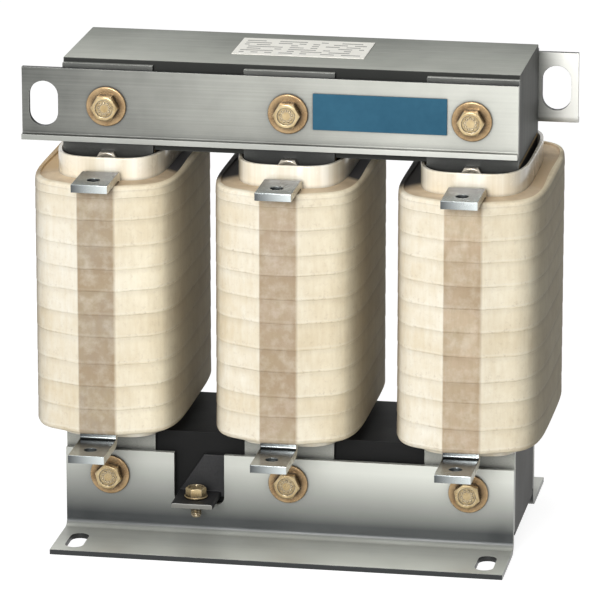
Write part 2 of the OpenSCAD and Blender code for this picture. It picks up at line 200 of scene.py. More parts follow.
class Wiring:
    """Adds nodes to one node tree and joins their sockets."""

    def __init__(self, tree: Tree) -> None:
        """Keep the tree that the nodes go into."""
        self.tree = tree

    @classmethod
    def fresh(cls, owner: bpy.types.Material | bpy.types.World) -> "Wiring":
        """Open the node tree of a material or a world, emptied."""
        owner.use_nodes = True
        owner.node_tree.nodes.clear()
        return cls(owner.node_tree)

    def feed(self, socket: Socket, value: object) -> None:
        """Link a socket to another one, or set its constant."""
        if isinstance(value, Socket):
            self.tree.links.new(value, socket)
        else:
            socket.default_value = value

    def add(self, kind: str, inputs: dict | None = None, **settings: object) -> Node:
        """Add one node.

        Args:
            kind: Blender's name of the node type.
            inputs: Socket names or numbers with the value or socket that feeds them.
            **settings: Values of the node's properties.

        Returns:
            The new node.
        """
        node = self.tree.nodes.new(kind)
        for name, value in settings.items():
            setattr(node, name, value)
        self.fill(node, inputs or {})
        return node

    def fill(self, node: Node, inputs: dict) -> None:
        """Feed several inputs of a node, by their names or numbers."""
        for key, value in inputs.items():
            self.feed(node.inputs[key], value)

    def math(self, operation: str, *values: object, clamp: bool = False) -> Socket:
        """Work out one number from up to three."""
        node = self.add("ShaderNodeMath", dict(enumerate(values)), operation=operation, use_clamp=clamp)
        return node.outputs[0]

    def times(self, first: object, *others: object, clamp: bool = False) -> Socket:
        """Multiply numbers in turn."""
        product = first
        for other in others:
            product = self.math("MULTIPLY", product, other, clamp=clamp)
        return product

    def opposite(self, share: object) -> Socket:
        """Give what a share leaves of 1."""
        return self.math("SUBTRACT", 1.0, share)

    def place(self) -> Socket:
        """Give the place on the piece, in object coordinates."""
        return self.add("ShaderNodeTexCoord").outputs["Object"]

    def axis(self, vector: object, name: str) -> Socket:
        """Give one part of a vector."""
        return self.add("ShaderNodeSeparateXYZ", {0: vector}).outputs[name]

    def ramp(self, value: object, low: float, high: float, start: float = 0.0, end: float = 1.0,
             soft: bool = False) -> Socket:
        """Map a number from one range to another and hold it there.

        Args:
            value: The number or socket to map.
            low: Lower end of its range.
            high: Upper end of its range.
            start: Result at the lower end.
            end: Result at the upper end.
            soft: Ease in and out of both ends.

        Returns:
            The socket with the mapped number.
        """
        ends = {"From Min": low, "From Max": high, "To Min": start, "To Max": end}
        node = self.add("ShaderNodeMapRange", {"Value": value, **ends}, clamp=True,
                        interpolation_type="SMOOTHSTEP" if soft else "LINEAR")
        return node.outputs["Result"]

    def mix(self, share: object, first: object, second: object) -> Socket:
        """Mix two colours, with a share of the second one."""
        node = self.add("ShaderNodeMix", {0: share, 6: first, 7: second}, data_type="RGBA")
        return node.outputs[2]

    def noise(self, vector: object, scale: object, detail: float = 3.0, roughness: float = 0.55) -> Socket:
        """Read a noise at a place."""
        node = self.add("ShaderNodeTexNoise", {"Vector": vector, "Scale": scale, "Detail": detail,
                                               "Roughness": roughness})
        return node.outputs[0]

    def relief(self, height: object, strength: float, depth: float) -> Socket:
        """Give the normal of a surface with a relief."""
        node = self.add("ShaderNodeBump", {"Height": height, "Strength": strength, "Distance": depth})
        return node.outputs["Normal"]


class Effect(Enum):
    """Surface effects that several finishes share, each a node group."""

    GRAIN = "drawn_grain"
    MOTTLE = "soft_mottle"
    # Edges paler with wear and a painted highlight
    WORN_LIT_EDGE = "worn_and_lit_edge"
    # Painted shade in corners, gaps and recesses
    CORNER_SHADE = "painted_corner_shade"

    def group(self) -> Tree:
        """Give this effect's node group, and build it at the first call."""
        made = bpy.data.node_groups.get(self.value)
        if made is None:
            made = bpy.data.node_groups.new(self.value, "ShaderNodeTree")
            builders = {Effect.GRAIN: build_grain, Effect.MOTTLE: build_mottle, Effect.WORN_LIT_EDGE: build_worn_lit_edge,
                        Effect.CORNER_SHADE: build_corner_shade}
            builders[self](made)
        return made

    def place(self, wiring: Wiring, **inputs: object) -> Socket:
        """Put this effect into a material, feed its inputs and give its result."""
        return wiring.add("ShaderNodeGroup", inputs, node_tree=self.group()).outputs[0]


def open_group(tree: Tree, inputs: dict[str, str], output: str) -> tuple:
    """Give a node group its sockets.

    Args:
        tree: The group's node tree.
        inputs: Names of its inputs with their socket types.
        output: Name of its one output, a number.

    Returns:
        The wiring, the group's input node and the socket that takes the result.
    """
    for name, kind in inputs.items():
        tree.interface.new_socket(name, in_out="INPUT", socket_type=kind)
    tree.interface.new_socket(output, in_out="OUTPUT", socket_type="NodeSocketFloat")
    wiring = Wiring(tree)
    source = wiring.add("NodeGroupInput")
    sink = wiring.add("NodeGroupOutput")
    return wiring, source, sink.inputs[output]


def build_grain(tree: Tree) -> None:
    """Build fine lines that run along the axis with the smallest stretch."""
    sockets = {"Place": "NodeSocketVector", "Stretch": "NodeSocketVector"}
    wiring, source, result = open_group(tree, sockets, "Tone")
    drawn = wiring.add("ShaderNodeVectorMath", {0: source.outputs["Place"], 1: source.outputs["Stretch"]},
                       operation="MULTIPLY")
    lines = wiring.noise(drawn.outputs[0], scale=1.0, detail=5.0, roughness=0.62)
    wiring.feed(result, wiring.ramp(lines, low=0.3, high=0.7))


def build_mottle(tree: Tree, finer: float = 5.3, finer_share: float = 0.35) -> None:
    """Build soft clouds with a share of finer ones in them."""
    sockets = {"Place": "NodeSocketVector", "Scale": "NodeSocketFloat"}
    wiring, source, result = open_group(tree, sockets, "Tone")
    place, scale = source.outputs["Place"], source.outputs["Scale"]
    broad = wiring.noise(place, scale, detail=2.0)
    fine = wiring.noise(place, wiring.times(scale, finer), detail=3.0)
    both = wiring.math("MULTIPLY_ADD", fine, finer_share, wiring.times(broad, 1.0 - finer_share))
    wiring.feed(result, wiring.ramp(both, low=0.36, high=0.64))


def build_worn_lit_edge(tree: Tree) -> None:
    """Build a mask of the edges, where a rounded normal leaves the surface's own, for wear and a painted
    highlight.
    """
    sockets = {"Radius": "NodeSocketFloat", "Gain": "NodeSocketFloat"}
    wiring, source, result = open_group(tree, sockets, "Mask")
    rounded = wiring.add("ShaderNodeBevel", {"Radius": source.outputs["Radius"]}, samples=4)
    own = wiring.add("ShaderNodeNewGeometry")
    along = wiring.add("ShaderNodeVectorMath", {0: rounded.outputs[0], 1: own.outputs["True Normal"]},
                       operation="DOT_PRODUCT")
    bent = wiring.opposite(along.outputs["Value"])
    wiring.feed(result, wiring.times(bent, source.outputs["Gain"], clamp=True))


def build_corner_shade(tree: Tree) -> None:
    """Build a mask of corners and gaps, where shade falls, for painted shade."""
    wiring, source, result = open_group(tree, {"Reach": "NodeSocketFloat"}, "Mask")
    open_sky = wiring.add("ShaderNodeAmbientOcclusion", {"Distance": source.outputs["Reach"]}, samples=6)
    wiring.feed(result, wiring.ramp(open_sky.outputs["AO"], low=0.3, high=0.9, start=1.0, end=0.0))


class Grain(Enum):
    """Direction that a surface's fine lines run in, as the stretch of their noise."""

    ALONG_X = (6.0, 900.0, 900.0)
    ALONG_Y = (900.0, 6.0, 900.0)
    ALONG_Z = (420.0, 420.0, 5.0)
    LAMINATED = (5.0, 1400.0, 5.0)
    # Broad upright bands: painted reflections on a glossy tube
    REFLECTION_BANDS = (105.0, 105.0, 2.0)
    EVEN = (300.0, 300.0, 300.0)


@dataclass(frozen=True)
class Finish(ABC):
    """A surface finish that becomes one material."""

    name: str

    def material(self) -> bpy.types.Material:
        """Give the finish's material, and build it at the first call."""
        title = f"{self.name}_finish"
        made = bpy.data.materials.get(title)
        if made is not None:
            return made
        made = bpy.data.materials.new(title)
        wiring = Wiring.fresh(made)
        shader = wiring.add("ShaderNodeBsdfPrincipled")
        wiring.add("ShaderNodeOutputMaterial", {"Surface": shader.outputs["BSDF"]})
        self.paint(wiring, shader)
        return made

    @abstractmethod
    def paint(self, wiring: Wiring, shader: Node) -> None:
        """Wire the finish's colour, roughness and relief into the shader."""


@dataclass(frozen=True)
class Drift:
    """A slow change of tone along one axis, from darker at the start to lighter at the end: a painted
    gradient of light and shade.
    """

    axis: str
    start: float
    end: float
    gain: float

    def tone(self, wiring: Wiring, place: object) -> Socket:
        """Give the change of tone at a place, from minus to plus the gain."""
        return wiring.ramp(wiring.axis(place, self.axis), self.start, self.end, -self.gain, self.gain)


@dataclass(frozen=True)
class Patches:
    """Cloudy patches of a noise: its grain, where they begin and are full, and how strong they get."""

    scale: float
    detail: float
    roughness: float
    limits: Span
    strength: Span = (0.0, 1.0)

    def mask(self, wiring: Wiring, place: object) -> Socket:
        """Give the mask of the patches at a place."""
        cloud = wiring.noise(place, self.scale, self.detail, self.roughness)
        return wiring.ramp(cloud, *self.limits, *self.strength)


LOOKS_ALONG: Span = (0.7, 0.95)


@dataclass(frozen=True)
class SurfaceFinish(Finish):
    """A finish with fine lines, soft clouds, edges paler with wear and a painted highlight, and painted
    shade in corners and gaps.
    """

    light: Colour
    dark: Colour
    edge: Colour
    metallic: float
    roughness: float
    grain: Grain
    grain_share: float = 0.5
    grain_relief: float = 0.12
    relief_depth: float = 0.1 * MM
    mottle_share: float = 0.5
    mottle_scale: float = 22.0
    gloss_spread: float = 0.06
    # Mask of the edges for the edge colour: wear, and a painted highlight
    wear_and_highlight_radius: float = 0.5 * MM
    wear_and_highlight_gain: float = 2.0
    # Painted shade in corners and gaps: its share, reach and darkness
    corner_shade: float = 0.5
    corner_shade_reach: float = 14.0 * MM
    corner_shade_tone: float = 0.12
    # A drift paints a gradient of light and shade along one axis
    drift: Drift | None = None
    coat: float = 0.0
    coat_roughness: float = 0.15
    specular: float = 0.5
    # Tones of the faces that look along y and along x: painted shade on the core, its ends with lamination
    # lines
    front: Colour | None = None
    ends: Colour | None = None
    sheet_share: float = 0.25

    def paint(self, wiring: Wiring, shader: Node) -> None:
        """Wire the finish's colour, roughness and relief into the shader."""
        place = wiring.place()
        lines = Effect.GRAIN.place(wiring, Place=place, Stretch=self.grain.value)
        clouds = Effect.MOTTLE.place(wiring, Place=place, Scale=self.mottle_scale)
        worn_and_lit = Effect.WORN_LIT_EDGE.place(wiring, Radius=self.wear_and_highlight_radius, Gain=self.wear_and_highlight_gain)
        middle = 0.5 * (1.0 - self.grain_share - self.mottle_share)
        tone = wiring.math("MULTIPLY_ADD", lines, self.grain_share,
                           wiring.math("MULTIPLY_ADD", clouds, self.mottle_share, middle))
        if self.drift is not None:
            tone = wiring.math("ADD", tone, self.drift.tone(wiring, place), clamp=True)
        colour = wiring.mix(self.with_painted_light(wiring, place, tone), self.dark, self.light)
        # Painted shade on faces that look along y and x, in finishes that give front and end tones
        if self.front is not None:
            colour = wiring.mix(self.facing(wiring, "Y"), colour, self.front)
        if self.ends is not None:
            sheets = wiring.mix(wiring.times(lines, self.sheet_share), self.ends, self.light)
            colour = wiring.mix(self.facing(wiring, "X"), colour, sheets)
        # Edges take the edge colour: partly wear, partly a painted highlight
        colour = wiring.mix(worn_and_lit, colour, self.edge)
        # Painted shade: corners, gaps and recesses darken towards a deep tone of the dark colour
        painted_corner_shade_mask = Effect.CORNER_SHADE.place(wiring, Reach=self.corner_shade_reach)
        shade = tuple(channel * self.corner_shade_tone for channel in self.dark[:3]) + (1.0,)
        gloss = (self.roughness + self.gloss_spread, self.roughness - self.gloss_spread)
        wiring.fill(shader, {
            "Base Color": wiring.mix(wiring.times(painted_corner_shade_mask, self.corner_shade, clamp=True), colour, shade),
            "Roughness": wiring.ramp(clouds, 0.0, 1.0, *gloss),
            "Normal": wiring.relief(lines, self.grain_relief, self.relief_depth),
            "Metallic": self.metallic, "Specular IOR Level": self.specular,
            "Coat Weight": self.coat, "Coat Roughness": self.coat_roughness})

    def with_painted_light(self, wiring: Wiring, place: object, tone: object) -> object:
        """Give the tone after painted light and shade that only some finishes have."""
        return tone

    @staticmethod
    def facing(wiring: Wiring, axis: str) -> Socket:
        """Give a mask of the faces that look along an axis, either way."""
        normal = wiring.add("ShaderNodeNewGeometry").outputs["True Normal"]
        return wiring.ramp(wiring.math("ABSOLUTE", wiring.axis(normal, axis)), *LOOKS_ALONG)


@dataclass(frozen=True)
class FootFinish(SurfaceFinish):
    """Sheet with painted light and shade: its web darker towards its fold and its left end, its bends
    darker, and its flange lighter outwards.
    """

    web_rise: Span = (11.0 * MM, 42.0 * MM)
    web_ends: Span = (-130.0 * MM, 110.0 * MM)
    web_grain: Span = (0.85, 1.15)
    left_share: float = 0.62
    flange_reach: Span = (62.0 * MM, 104.0 * MM)
    flange_lift: Span = (0.35, 0.8)
    edge_share: float = 0.55

    def with_painted_light(self, wiring: Wiring, place: object, tone: object) -> object:
        """Give the tone with painted shade on the upright web and the bends, and painted light on the
        flange.
        """
        up = wiring.ramp(wiring.axis(place, "Z"), *self.web_rise)
        along = wiring.ramp(wiring.axis(place, "X"), *self.web_ends, self.left_share, 1.0)
        web = wiring.times(up, along, wiring.ramp(tone, 0.0, 1.0, *self.web_grain))
        upright = self.facing(wiring, "Y")
        out = wiring.math("ABSOLUTE", wiring.axis(place, "Y"))
        lift = wiring.ramp(out, *self.flange_reach, *self.flange_lift)
        # Painted shade: the bends between web and flange keep only a share of the tone
        lying = wiring.math("MULTIPLY_ADD", self.facing(wiring, "Z"), 1.0 - self.edge_share,
                            self.edge_share)
        flat = wiring.times(wiring.math("ADD", tone, lift), lying, wiring.opposite(upright))
        return wiring.math("MULTIPLY_ADD", web, upright, flat, clamp=True)


@dataclass(frozen=True)
class BarFinish(SurfaceFinish):
    """Bright bar whose front face carries a painted sheen, dark at its left edge and bright at its right
    edge, and whose other faces are painted darker.
    """

    left_edge: float = 0.0
    right_edge: float = 1.0
    front_share: Span = (0.05, 0.95)
    top_share: float = 0.42

    def with_painted_light(self, wiring: Wiring, place: object, tone: object) -> object:
        """Give the tone with painted light: a painted sheen along the front face, and darker other faces.
        """
        # Painted sheen on the front face, from dark at the left edge to bright at the right
        front_sheen = wiring.ramp(wiring.axis(place, "X"), self.left_edge, self.right_edge, *self.front_share)
        front = self.facing(wiring, "Y")
        rest = wiring.times(tone, self.top_share, wiring.opposite(front))
        return wiring.math("MULTIPLY_ADD", front_sheen, front, rest, clamp=True)


@dataclass(frozen=True)
class TapeSpot:
    """What a tape finish reads at each spot of the tape.

    The run is the distance along the tape from the middle of the bar. The turn is the turn's number with
    its fraction, from the turn's lower edge up.
    """

    run: Socket
    turn: Socket
    fraction: Socket
    place: Socket
    clouds: Socket
    on_bar: Socket


@dataclass(frozen=True)
class TapeFinish(Finish):
    """Woven insulating tape, wound in overlapping turns over a flat bar.

    Stretches of the run are in half bar widths, but the bar's fades are distances from its edges.
    Stretches of a turn are shares of its height.
    """

    light: Colour
    warm: Colour
    dark: Colour
    # Darker tones over the bar: painted shade on the bar's facet
    over_bar_shade: Colour
    over_bar_shade_green: Colour
    edge_line: Colour
    # Stain colour, also used as painted shade on the coil's left corner
    stain_and_shade: Colour
    ledge: Colour
    # Tones of the ledge's left and right parts: painted shadow, near black where the yoke's shade falls
    left_ledge_shade: Colour
    right_ledge_shade: Colour
    # Painted shade on the coil's sides
    side_shade_tone: Colour
    side_shade_share: float
    turn_height: float
    band_half: float
    thread_pitch: float = 0.75 * MM
    run_map: str = "tape_run"
    roughness: float = 0.62
    specular: float = 0.18
    relief: float = 0.3
    relief_depth: float = 0.12 * MM
    line_depth: float = 1.5
    cloud_scale: float = 24.0
    cloud_share: float = 0.5
    turn_share: float = 0.25
    fibre_share: float = 0.25
    slub_grain: Span = (420.0, 0.9)
    slubs: Patches = Patches(1.0, 4.0, 0.6, (0.3, 0.7))
    warming_reach: Span = (-1.0, 5.0)
    line_reach: Span = (0.0, 0.05)
    line_share: float = 0.38
    line_breaks: Patches = Patches(38.0, 4.0, 0.7, (0.4, 0.66), (0.05, 1.0))
    # Painted shade on the top of each turn, under the next turn's edge
    overlap_shade_reach: Span = (0.7, 1.0)
    overlap_shade_share: float = 0.12
    # Painted highlight just above each turn's lower edge
    lit_start: Span = (0.05, 0.07)
    lit_end: Span = (0.08, 0.16)
    lit_share: float = 0.25
    lit_share_on_bar: float = 0.05
    specks: Patches = Patches(420.0, 4.0, 0.7, (0.54, 0.74))
    speck_reach: Span = (0.0, 0.35)
    speck_fade: Span = (1.0, 0.35)
    speck_share: float = 0.45
    left_corner: Span = (-6.2, -4.6)
    left_rear: Span = (-15.0, -13.0)
    right_corner: Span = (6.2, 6.9)
    right_rear: Span = (13.0, 15.0)
    # Painted shade on the coil's left corner
    left_side: Span = (-4.7, -4.0)
    left_side_rear: Span = (-9.0, -6.0)
    left_side_share: float = 0.55
    looks_sideways: Span = (0.82, 0.98)
    ledge_floor: float = 0.4
    bar_left_fade: Span = (-0.4 * MM, 0.4 * MM)
    bar_right_fade: Span = (-0.8 * MM, 1.4 * MM)
    bar_share: float = 0.92
    bar_cloud_scale: float = 42.0
    bar_slub_share: float = 0.3
    bar_rim: Span = (0.7, 1.0)
    bar_rim_share: float = 0.6
    bar_rim_blotches: Patches = Patches(70.0, 3.0, 0.6, (0.35, 0.65))
    bar_stains: Patches = Patches(34.0, 3.0, 0.6, (0.38, 0.62), (0.0, 0.4))
    dark_turn_from: float = 0.5
    dark_turn_share: float = 0.6
    bar_worn: Patches = Patches(130.0, 4.0, 0.65, (0.45, 0.8), (0.0, 0.3))

    def paint(self, wiring: Wiring, shader: Node) -> None:
        """Wire the tape's turns, threads, stains, and the painted shade over the bar, at the turns' edges
        and on the coil's sides into the shader.
        """
        mapped = wiring.add("ShaderNodeUVMap", uv_map=self.run_map).outputs["UV"]
        run, turn, place = wiring.axis(mapped, "X"), wiring.axis(mapped, "Y"), wiring.place()
        clouds = Effect.MOTTLE.place(wiring, Place=place, Scale=self.cloud_scale)
        spot = TapeSpot(run, turn, wiring.math("FRACT", turn), place, clouds, self.on_bar(wiring, run))
        line = wiring.times(wiring.ramp(spot.fraction, *self.line_reach, 1.0, 0.0),
                            self.line_breaks.mask(wiring, place))
        colour = self.lined(wiring, spot, self.wound(wiring, spot), line)
        height = wiring.math("MULTIPLY_ADD", line, -self.line_depth, self.threads(wiring, spot))
        wiring.fill(shader, {
            "Base Color": self.shaded(wiring, spot, colour), "Roughness": self.roughness,
            "Specular IOR Level": self.specular,
            "Normal": wiring.relief(height, self.relief, self.relief_depth)})

    def threads(self, wiring: Wiring, spot: TapeSpot) -> Socket:
        """Give the height of the crossing threads."""
        waves = math.tau / self.thread_pitch
        along = wiring.math("SINE", wiring.times(spot.run, waves))
        across = wiring.math("SINE", wiring.times(spot.turn, waves * self.turn_height))
        return wiring.times(along, across)

    def over(self, wiring: Wiring, spot: TapeSpot, limits: Span, start: float = 0.0, end: float = 1.0,
             soft: bool = False) -> Socket:
        """Ramp over a stretch of the run, whose limits are in half bar widths."""
        low, high = (limit * self.band_half for limit in limits)
        return wiring.ramp(spot.run, low, high, start, end, soft)

    def wound(self, wiring: Wiring, spot: TapeSpot) -> Socket:
        """Give the colour of the turns, off the bar and on it, where they are painted darker as shade."""
        fibres = self.fibres(wiring, spot)
        own_tone = wiring.add("ShaderNodeTexWhiteNoise", {"W": wiring.math("FLOOR", spot.turn)},
                              noise_dimensions="1D").outputs["Value"]
        tone = wiring.math("MULTIPLY_ADD", own_tone, self.turn_share,
                           wiring.times(spot.clouds, self.cloud_share))
        tone = wiring.math("MULTIPLY_ADD", fibres, self.fibre_share, tone)
        # The turns go from a paler tone at the left to a warmer one at the right
        paler_to_warmer = wiring.mix(self.over(wiring, spot, self.warming_reach), self.light, self.warm)
        colour = wiring.mix(tone, self.dark, paler_to_warmer)
        return wiring.mix(spot.on_bar, colour, self.bar_tone(wiring, spot, fibres, own_tone))

    def lined(self, wiring: Wiring, spot: TapeSpot, colour: Socket, line: Socket) -> Socket:
        """Draw the turns' edges: a broken dark line, painted shade under the overlap, a painted highlight
        on the edge, and specks.

        Args:
            wiring: The material's nodes.
            spot: What the finish reads.
            colour: Colour of the turns.
            line: Mask of the broken line.

        Returns:
            The colour's socket.
        """
        # Painted shade under the next turn's overlapping edge
        overlap_shade = wiring.ramp(spot.fraction, *self.overlap_shade_reach, 0.0, self.overlap_shade_share, soft=True)
        dark = wiring.math("MAXIMUM", wiring.times(line, self.line_share), overlap_shade)
        colour = wiring.mix(dark, colour, self.edge_line)
        # Painted highlight above each turn's lower edge, fainter over the bar
        lit_share = wiring.math("MULTIPLY_ADD", spot.on_bar, self.lit_share_on_bar - self.lit_share,
                                self.lit_share)
        lit = wiring.times(wiring.ramp(spot.fraction, *self.lit_start),
                           wiring.ramp(spot.fraction, *self.lit_end, 1.0, 0.0), lit_share)
        colour = wiring.mix(lit, colour, self.light)
        near = wiring.ramp(spot.fraction, *self.speck_reach, *self.speck_fade)
        stained = wiring.times(near, self.specks.mask(wiring, spot.place), self.speck_share)
        return wiring.mix(stained, colour, self.stain_and_shade)

    def shaded(self, wiring: Wiring, spot: TapeSpot, colour: Socket) -> Socket:
        """Paint shade on the coil's sides, and painted shadow on the ledges of its ends.

        Args:
            wiring: The material's nodes.
            spot: What the finish reads.
            colour: Colour of the turns with their edges.

        Returns:
            The colour's socket.
        """
        at_left = wiring.times(self.over(wiring, spot, self.left_corner, 1.0, 0.0, soft=True),
                               self.over(wiring, spot, self.left_rear))
        at_right = wiring.times(self.over(wiring, spot, self.right_corner),
                                self.over(wiring, spot, self.right_rear, 1.0, 0.0))
        soiled = wiring.math("MULTIPLY_ADD", spot.clouds, 1.0 - self.ledge_floor, self.ledge_floor)
        end_tone = wiring.mix(soiled, self.stain_and_shade, self.ledge)
        # Painted shadow on the ledge's left and right parts
        end_tone = wiring.mix(at_left, end_tone, self.left_ledge_shade)
        end_tone = wiring.mix(at_right, end_tone, self.right_ledge_shade)
        # Painted shade: the left corner, turned from the light, darkens towards the stain colour
        painted_left_shade = wiring.times(
            self.over(wiring, spot, self.left_side, self.left_side_share, 0.0, soft=True),
            self.over(wiring, spot, self.left_side_rear))
        colour = wiring.mix(painted_left_shade, colour, self.stain_and_shade)
        # Painted shade on the faces that look sideways, between the coils
        normal = wiring.add("ShaderNodeNewGeometry").outputs["Normal"]
        sideways = wiring.math("ABSOLUTE", wiring.axis(normal, "X"))
        colour = wiring.mix(wiring.ramp(sideways, *self.looks_sideways, 0.0, self.side_shade_share), colour,
                            self.side_shade_tone)
        # Painted shadow on the rim over the ledge's left part
        on_rim = wiring.times(wiring.math("GREATER_THAN", spot.turn, RIM_TURN - 1.0), at_left)
        colour = wiring.mix(on_rim, colour, self.left_ledge_shade)
        return wiring.mix(wiring.math("GREATER_THAN", spot.turn, LEDGE_TURN - 1.0), colour, end_tone)

    def fibres(self, wiring: Wiring, spot: TapeSpot) -> Socket:
        """Give the tone of the slubs that stand across the tape's run."""
        along, across = self.slub_grain
        spread = wiring.add("ShaderNodeCombineXYZ", {
            "X": wiring.times(spot.run, along), "Y": wiring.times(spot.turn, across)}).outputs[0]
        return self.slubs.mask(wiring, spread)

    def on_bar(self, wiring: Wiring, run: Socket) -> Socket:
        """Give the mask of the stretch over the flat bar, crisp at its left and soft at its right."""
        left = wiring.ramp(run, *(fade - self.band_half for fade in self.bar_left_fade))
        right_edge = [fade + self.band_half for fade in self.bar_right_fade]
        right = wiring.ramp(run, *right_edge, 1.0, 0.0, soft=True)
        return wiring.times(left, right, self.bar_share)

    def bar_tone(self, wiring: Wiring, spot: TapeSpot, fibres: Socket, own_tone: Socket) -> Socket:
        """Colour the tape over the bar, painted darker as shade on the bar's facet.

        Args:
            wiring: The material's nodes.
            spot: What the finish reads.
            fibres: Tone of the slubs.
            own_tone: Tone of each turn.

        Returns:
            The colour's socket: two darker tones of painted shade, stained at slubs and edges, in patches
            and on some turns.
        """
        clouds = Effect.MOTTLE.place(wiring, Place=spot.place, Scale=self.bar_cloud_scale)
        blend = wiring.mix(clouds, self.over_bar_shade, self.over_bar_shade_green)
        rim_low, rim_high = (limit * self.band_half for limit in self.bar_rim)
        rim = wiring.ramp(wiring.math("ABSOLUTE", spot.run), rim_low, rim_high, 0.0, self.bar_rim_share)
        stains = (wiring.ramp(fibres, 0.0, 1.0, self.bar_slub_share, 0.0),
                  wiring.times(rim, self.bar_rim_blotches.mask(wiring, spot.place)),
                  self.bar_stains.mask(wiring, spot.place),
                  wiring.ramp(own_tone, self.dark_turn_from, 1.0, 0.0, self.dark_turn_share))
        for stained in stains:
            blend = wiring.mix(stained, blend, self.stain_and_shade)
        return wiring.mix(self.bar_worn.mask(wiring, spot.place), blend, self.light)


@dataclass(frozen=True)
class LabelFinish(Finish):
    """White paper with plain grey rules on it."""

    paper: Colour
    ink: Colour
    row_pitch: float
    margin: float
    low: Span
    high: Span
    shade: Colour
    shade_share: float = 0.25
    cloud_scale: float = 60.0
    rule_share: float = 0.42
    blocks_per_metre: float = 260.0
    filled_share: float = 0.62
    ink_share: float = 0.75
    roughness: float = 0.5

    def paint(self, wiring: Wiring, shader: Node) -> None:
        """Wire the paper and its rules into the shader."""
        place = wiring.place()
        across, up = wiring.axis(place, "X"), wiring.axis(place, "Y")
        row = wiring.math("DIVIDE", wiring.math("SUBTRACT", up, self.low[1]), self.row_pitch)
        in_row = wiring.math("LESS_THAN", wiring.math("FRACT", row), self.rule_share)
        blocks = wiring.add("ShaderNodeCombineXYZ", {
            "X": wiring.math("FLOOR", wiring.times(across, self.blocks_per_metre)),
            "Y": wiring.math("FLOOR", row)}).outputs[0]
        drawn = wiring.add("ShaderNodeTexWhiteNoise", {"Vector": blocks}, noise_dimensions="3D")
        filled = wiring.math("LESS_THAN", drawn.outputs["Value"], self.filled_share)
        printed = wiring.times(in_row, filled)
        for axis, low, high in ((across, self.low[0], self.high[0]), (up, self.low[1], self.high[1])):
            printed = wiring.times(printed, wiring.math("GREATER_THAN", axis, low + self.margin),
                                   wiring.math("LESS_THAN", axis, high - self.margin))
        clouds = Effect.MOTTLE.place(wiring, Place=place, Scale=self.cloud_scale)
        sheet = wiring.mix(wiring.times(clouds, self.shade_share), self.paper, self.shade)
        colour = wiring.mix(wiring.times(printed, self.ink_share), sheet, self.ink)
        wiring.fill(shader, {"Base Color": colour, "Roughness": self.roughness})


# Its drift paints light along x, darker at the left and lighter at the right; its corner shade is painted
# shade
ZINC_SHEET = SurfaceFinish(
    "zinc_sheet", tint(208, 209, 200), tint(62, 64, 61), tint(232, 233, 226),
    metallic=0.3, roughness=0.42, grain=Grain.ALONG_X, grain_share=0.07, grain_relief=0.05,
    mottle_share=0.22, mottle_scale=7.0, wear_and_highlight_gain=2.4, corner_shade=0.9, corner_shade_reach=30.0 * MM,
    drift=Drift("X", -140.0 * MM, 150.0 * MM, 0.42))
# A lighter copy of the zinc sheet: painted light on the rear rail, which lies in shade, lighter past the
# core towards its right end
REAR_SHEET = replace(
    ZINC_SHEET, name="rear_zinc_sheet", light=tint(240, 240, 233), dark=tint(120, 122, 117),
    corner_shade=0.3, drift=Drift("X", 116.0 * MM, 144.0 * MM, 0.8))
# A darker copy of the zinc sheet: painted shade on the straps, darker towards their tops and with strong
# corner shade
STRAP_SHEET = replace(ZINC_SHEET, name="strap_sheet", light=tint(190, 191, 182), dark=tint(66, 68, 65),
                      corner_shade=1.0, corner_shade_reach=50.0 * MM, drift=Drift("Z", 224.0 * MM, 120.0 * MM, 0.42))
# FootFinish paints shade on the webs and bends and light on the flanges; its drift paints a faint gradient
# along x
FOOT_SHEET = FootFinish(
    "foot_sheet", tint(214, 216, 208), tint(45, 48, 49), tint(206, 208, 202),
    metallic=0.3, roughness=0.4, grain=Grain.ALONG_X, grain_share=0.06, grain_relief=0.04,
    mottle_share=0.2, mottle_scale=7.0, wear_and_highlight_gain=1.8, corner_shade=0.6, corner_shade_reach=10.0 * MM,
    drift=Drift("X", -140.0 * MM, 140.0 * MM, 0.05))
# Lighter cut edges: bare steel, with a painted highlight
CUT_EDGE = replace(ZINC_SHEET, name="cut_edge", light=tint(211, 212, 205), dark=tint(134, 136, 131),
                   corner_shade=0.2)
# Near-black cut tops and hole walls: painted shade
DARK_CUT = replace(ZINC_SHEET, name="dark_cut", light=tint(44, 45, 44), dark=tint(28, 29, 28),
                   edge=tint(60, 61, 60), corner_shade=0.2)
# The earth tab's lighter front edge: bare steel, with a painted highlight
TAB_EDGE = replace(CUT_EDGE, name="tab_edge", light=tint(150, 149, 142), dark=tint(84, 84, 80))
# Painted shade: dark tones on the front faces and the ends, the ends with lamination lines; its drift
# paints the top lighter towards the front
CORE_STEEL = SurfaceFinish(
    "core_laminations", tint(184, 186, 177), tint(116, 119, 113), tint(226, 228, 220),
    metallic=0.2, roughness=0.6, grain=Grain.LAMINATED, grain_share=0.25, grain_relief=0.2,
    mottle_share=0.35, mottle_scale=6.0, front=tint(40, 41, 39), ends=tint(42, 43, 41), specular=0.2,
    wear_and_highlight_gain=2.0, corner_shade=0.95, corner_shade_reach=60.0 * MM, drift=Drift("Y", 37.0 * MM, -37.0 * MM, 0.3))
# A darker copy of the core's finish: painted shade on the lower E-core, which lies in shade
CORE_SHADE = replace(CORE_STEEL, name="core_painted_shade", light=tint(62, 63, 62), dark=tint(36, 37, 36),
                     edge=tint(90, 91, 89), front=tint(20, 20, 20), ends=tint(64, 63, 59), drift=None)
SPACER_BOARD = SurfaceFinish(
    "spacer_board", tint(206, 178, 128), tint(176, 146, 98), tint(216, 192, 146),
    metallic=0.0, roughness=0.7, grain=Grain.ALONG_X)
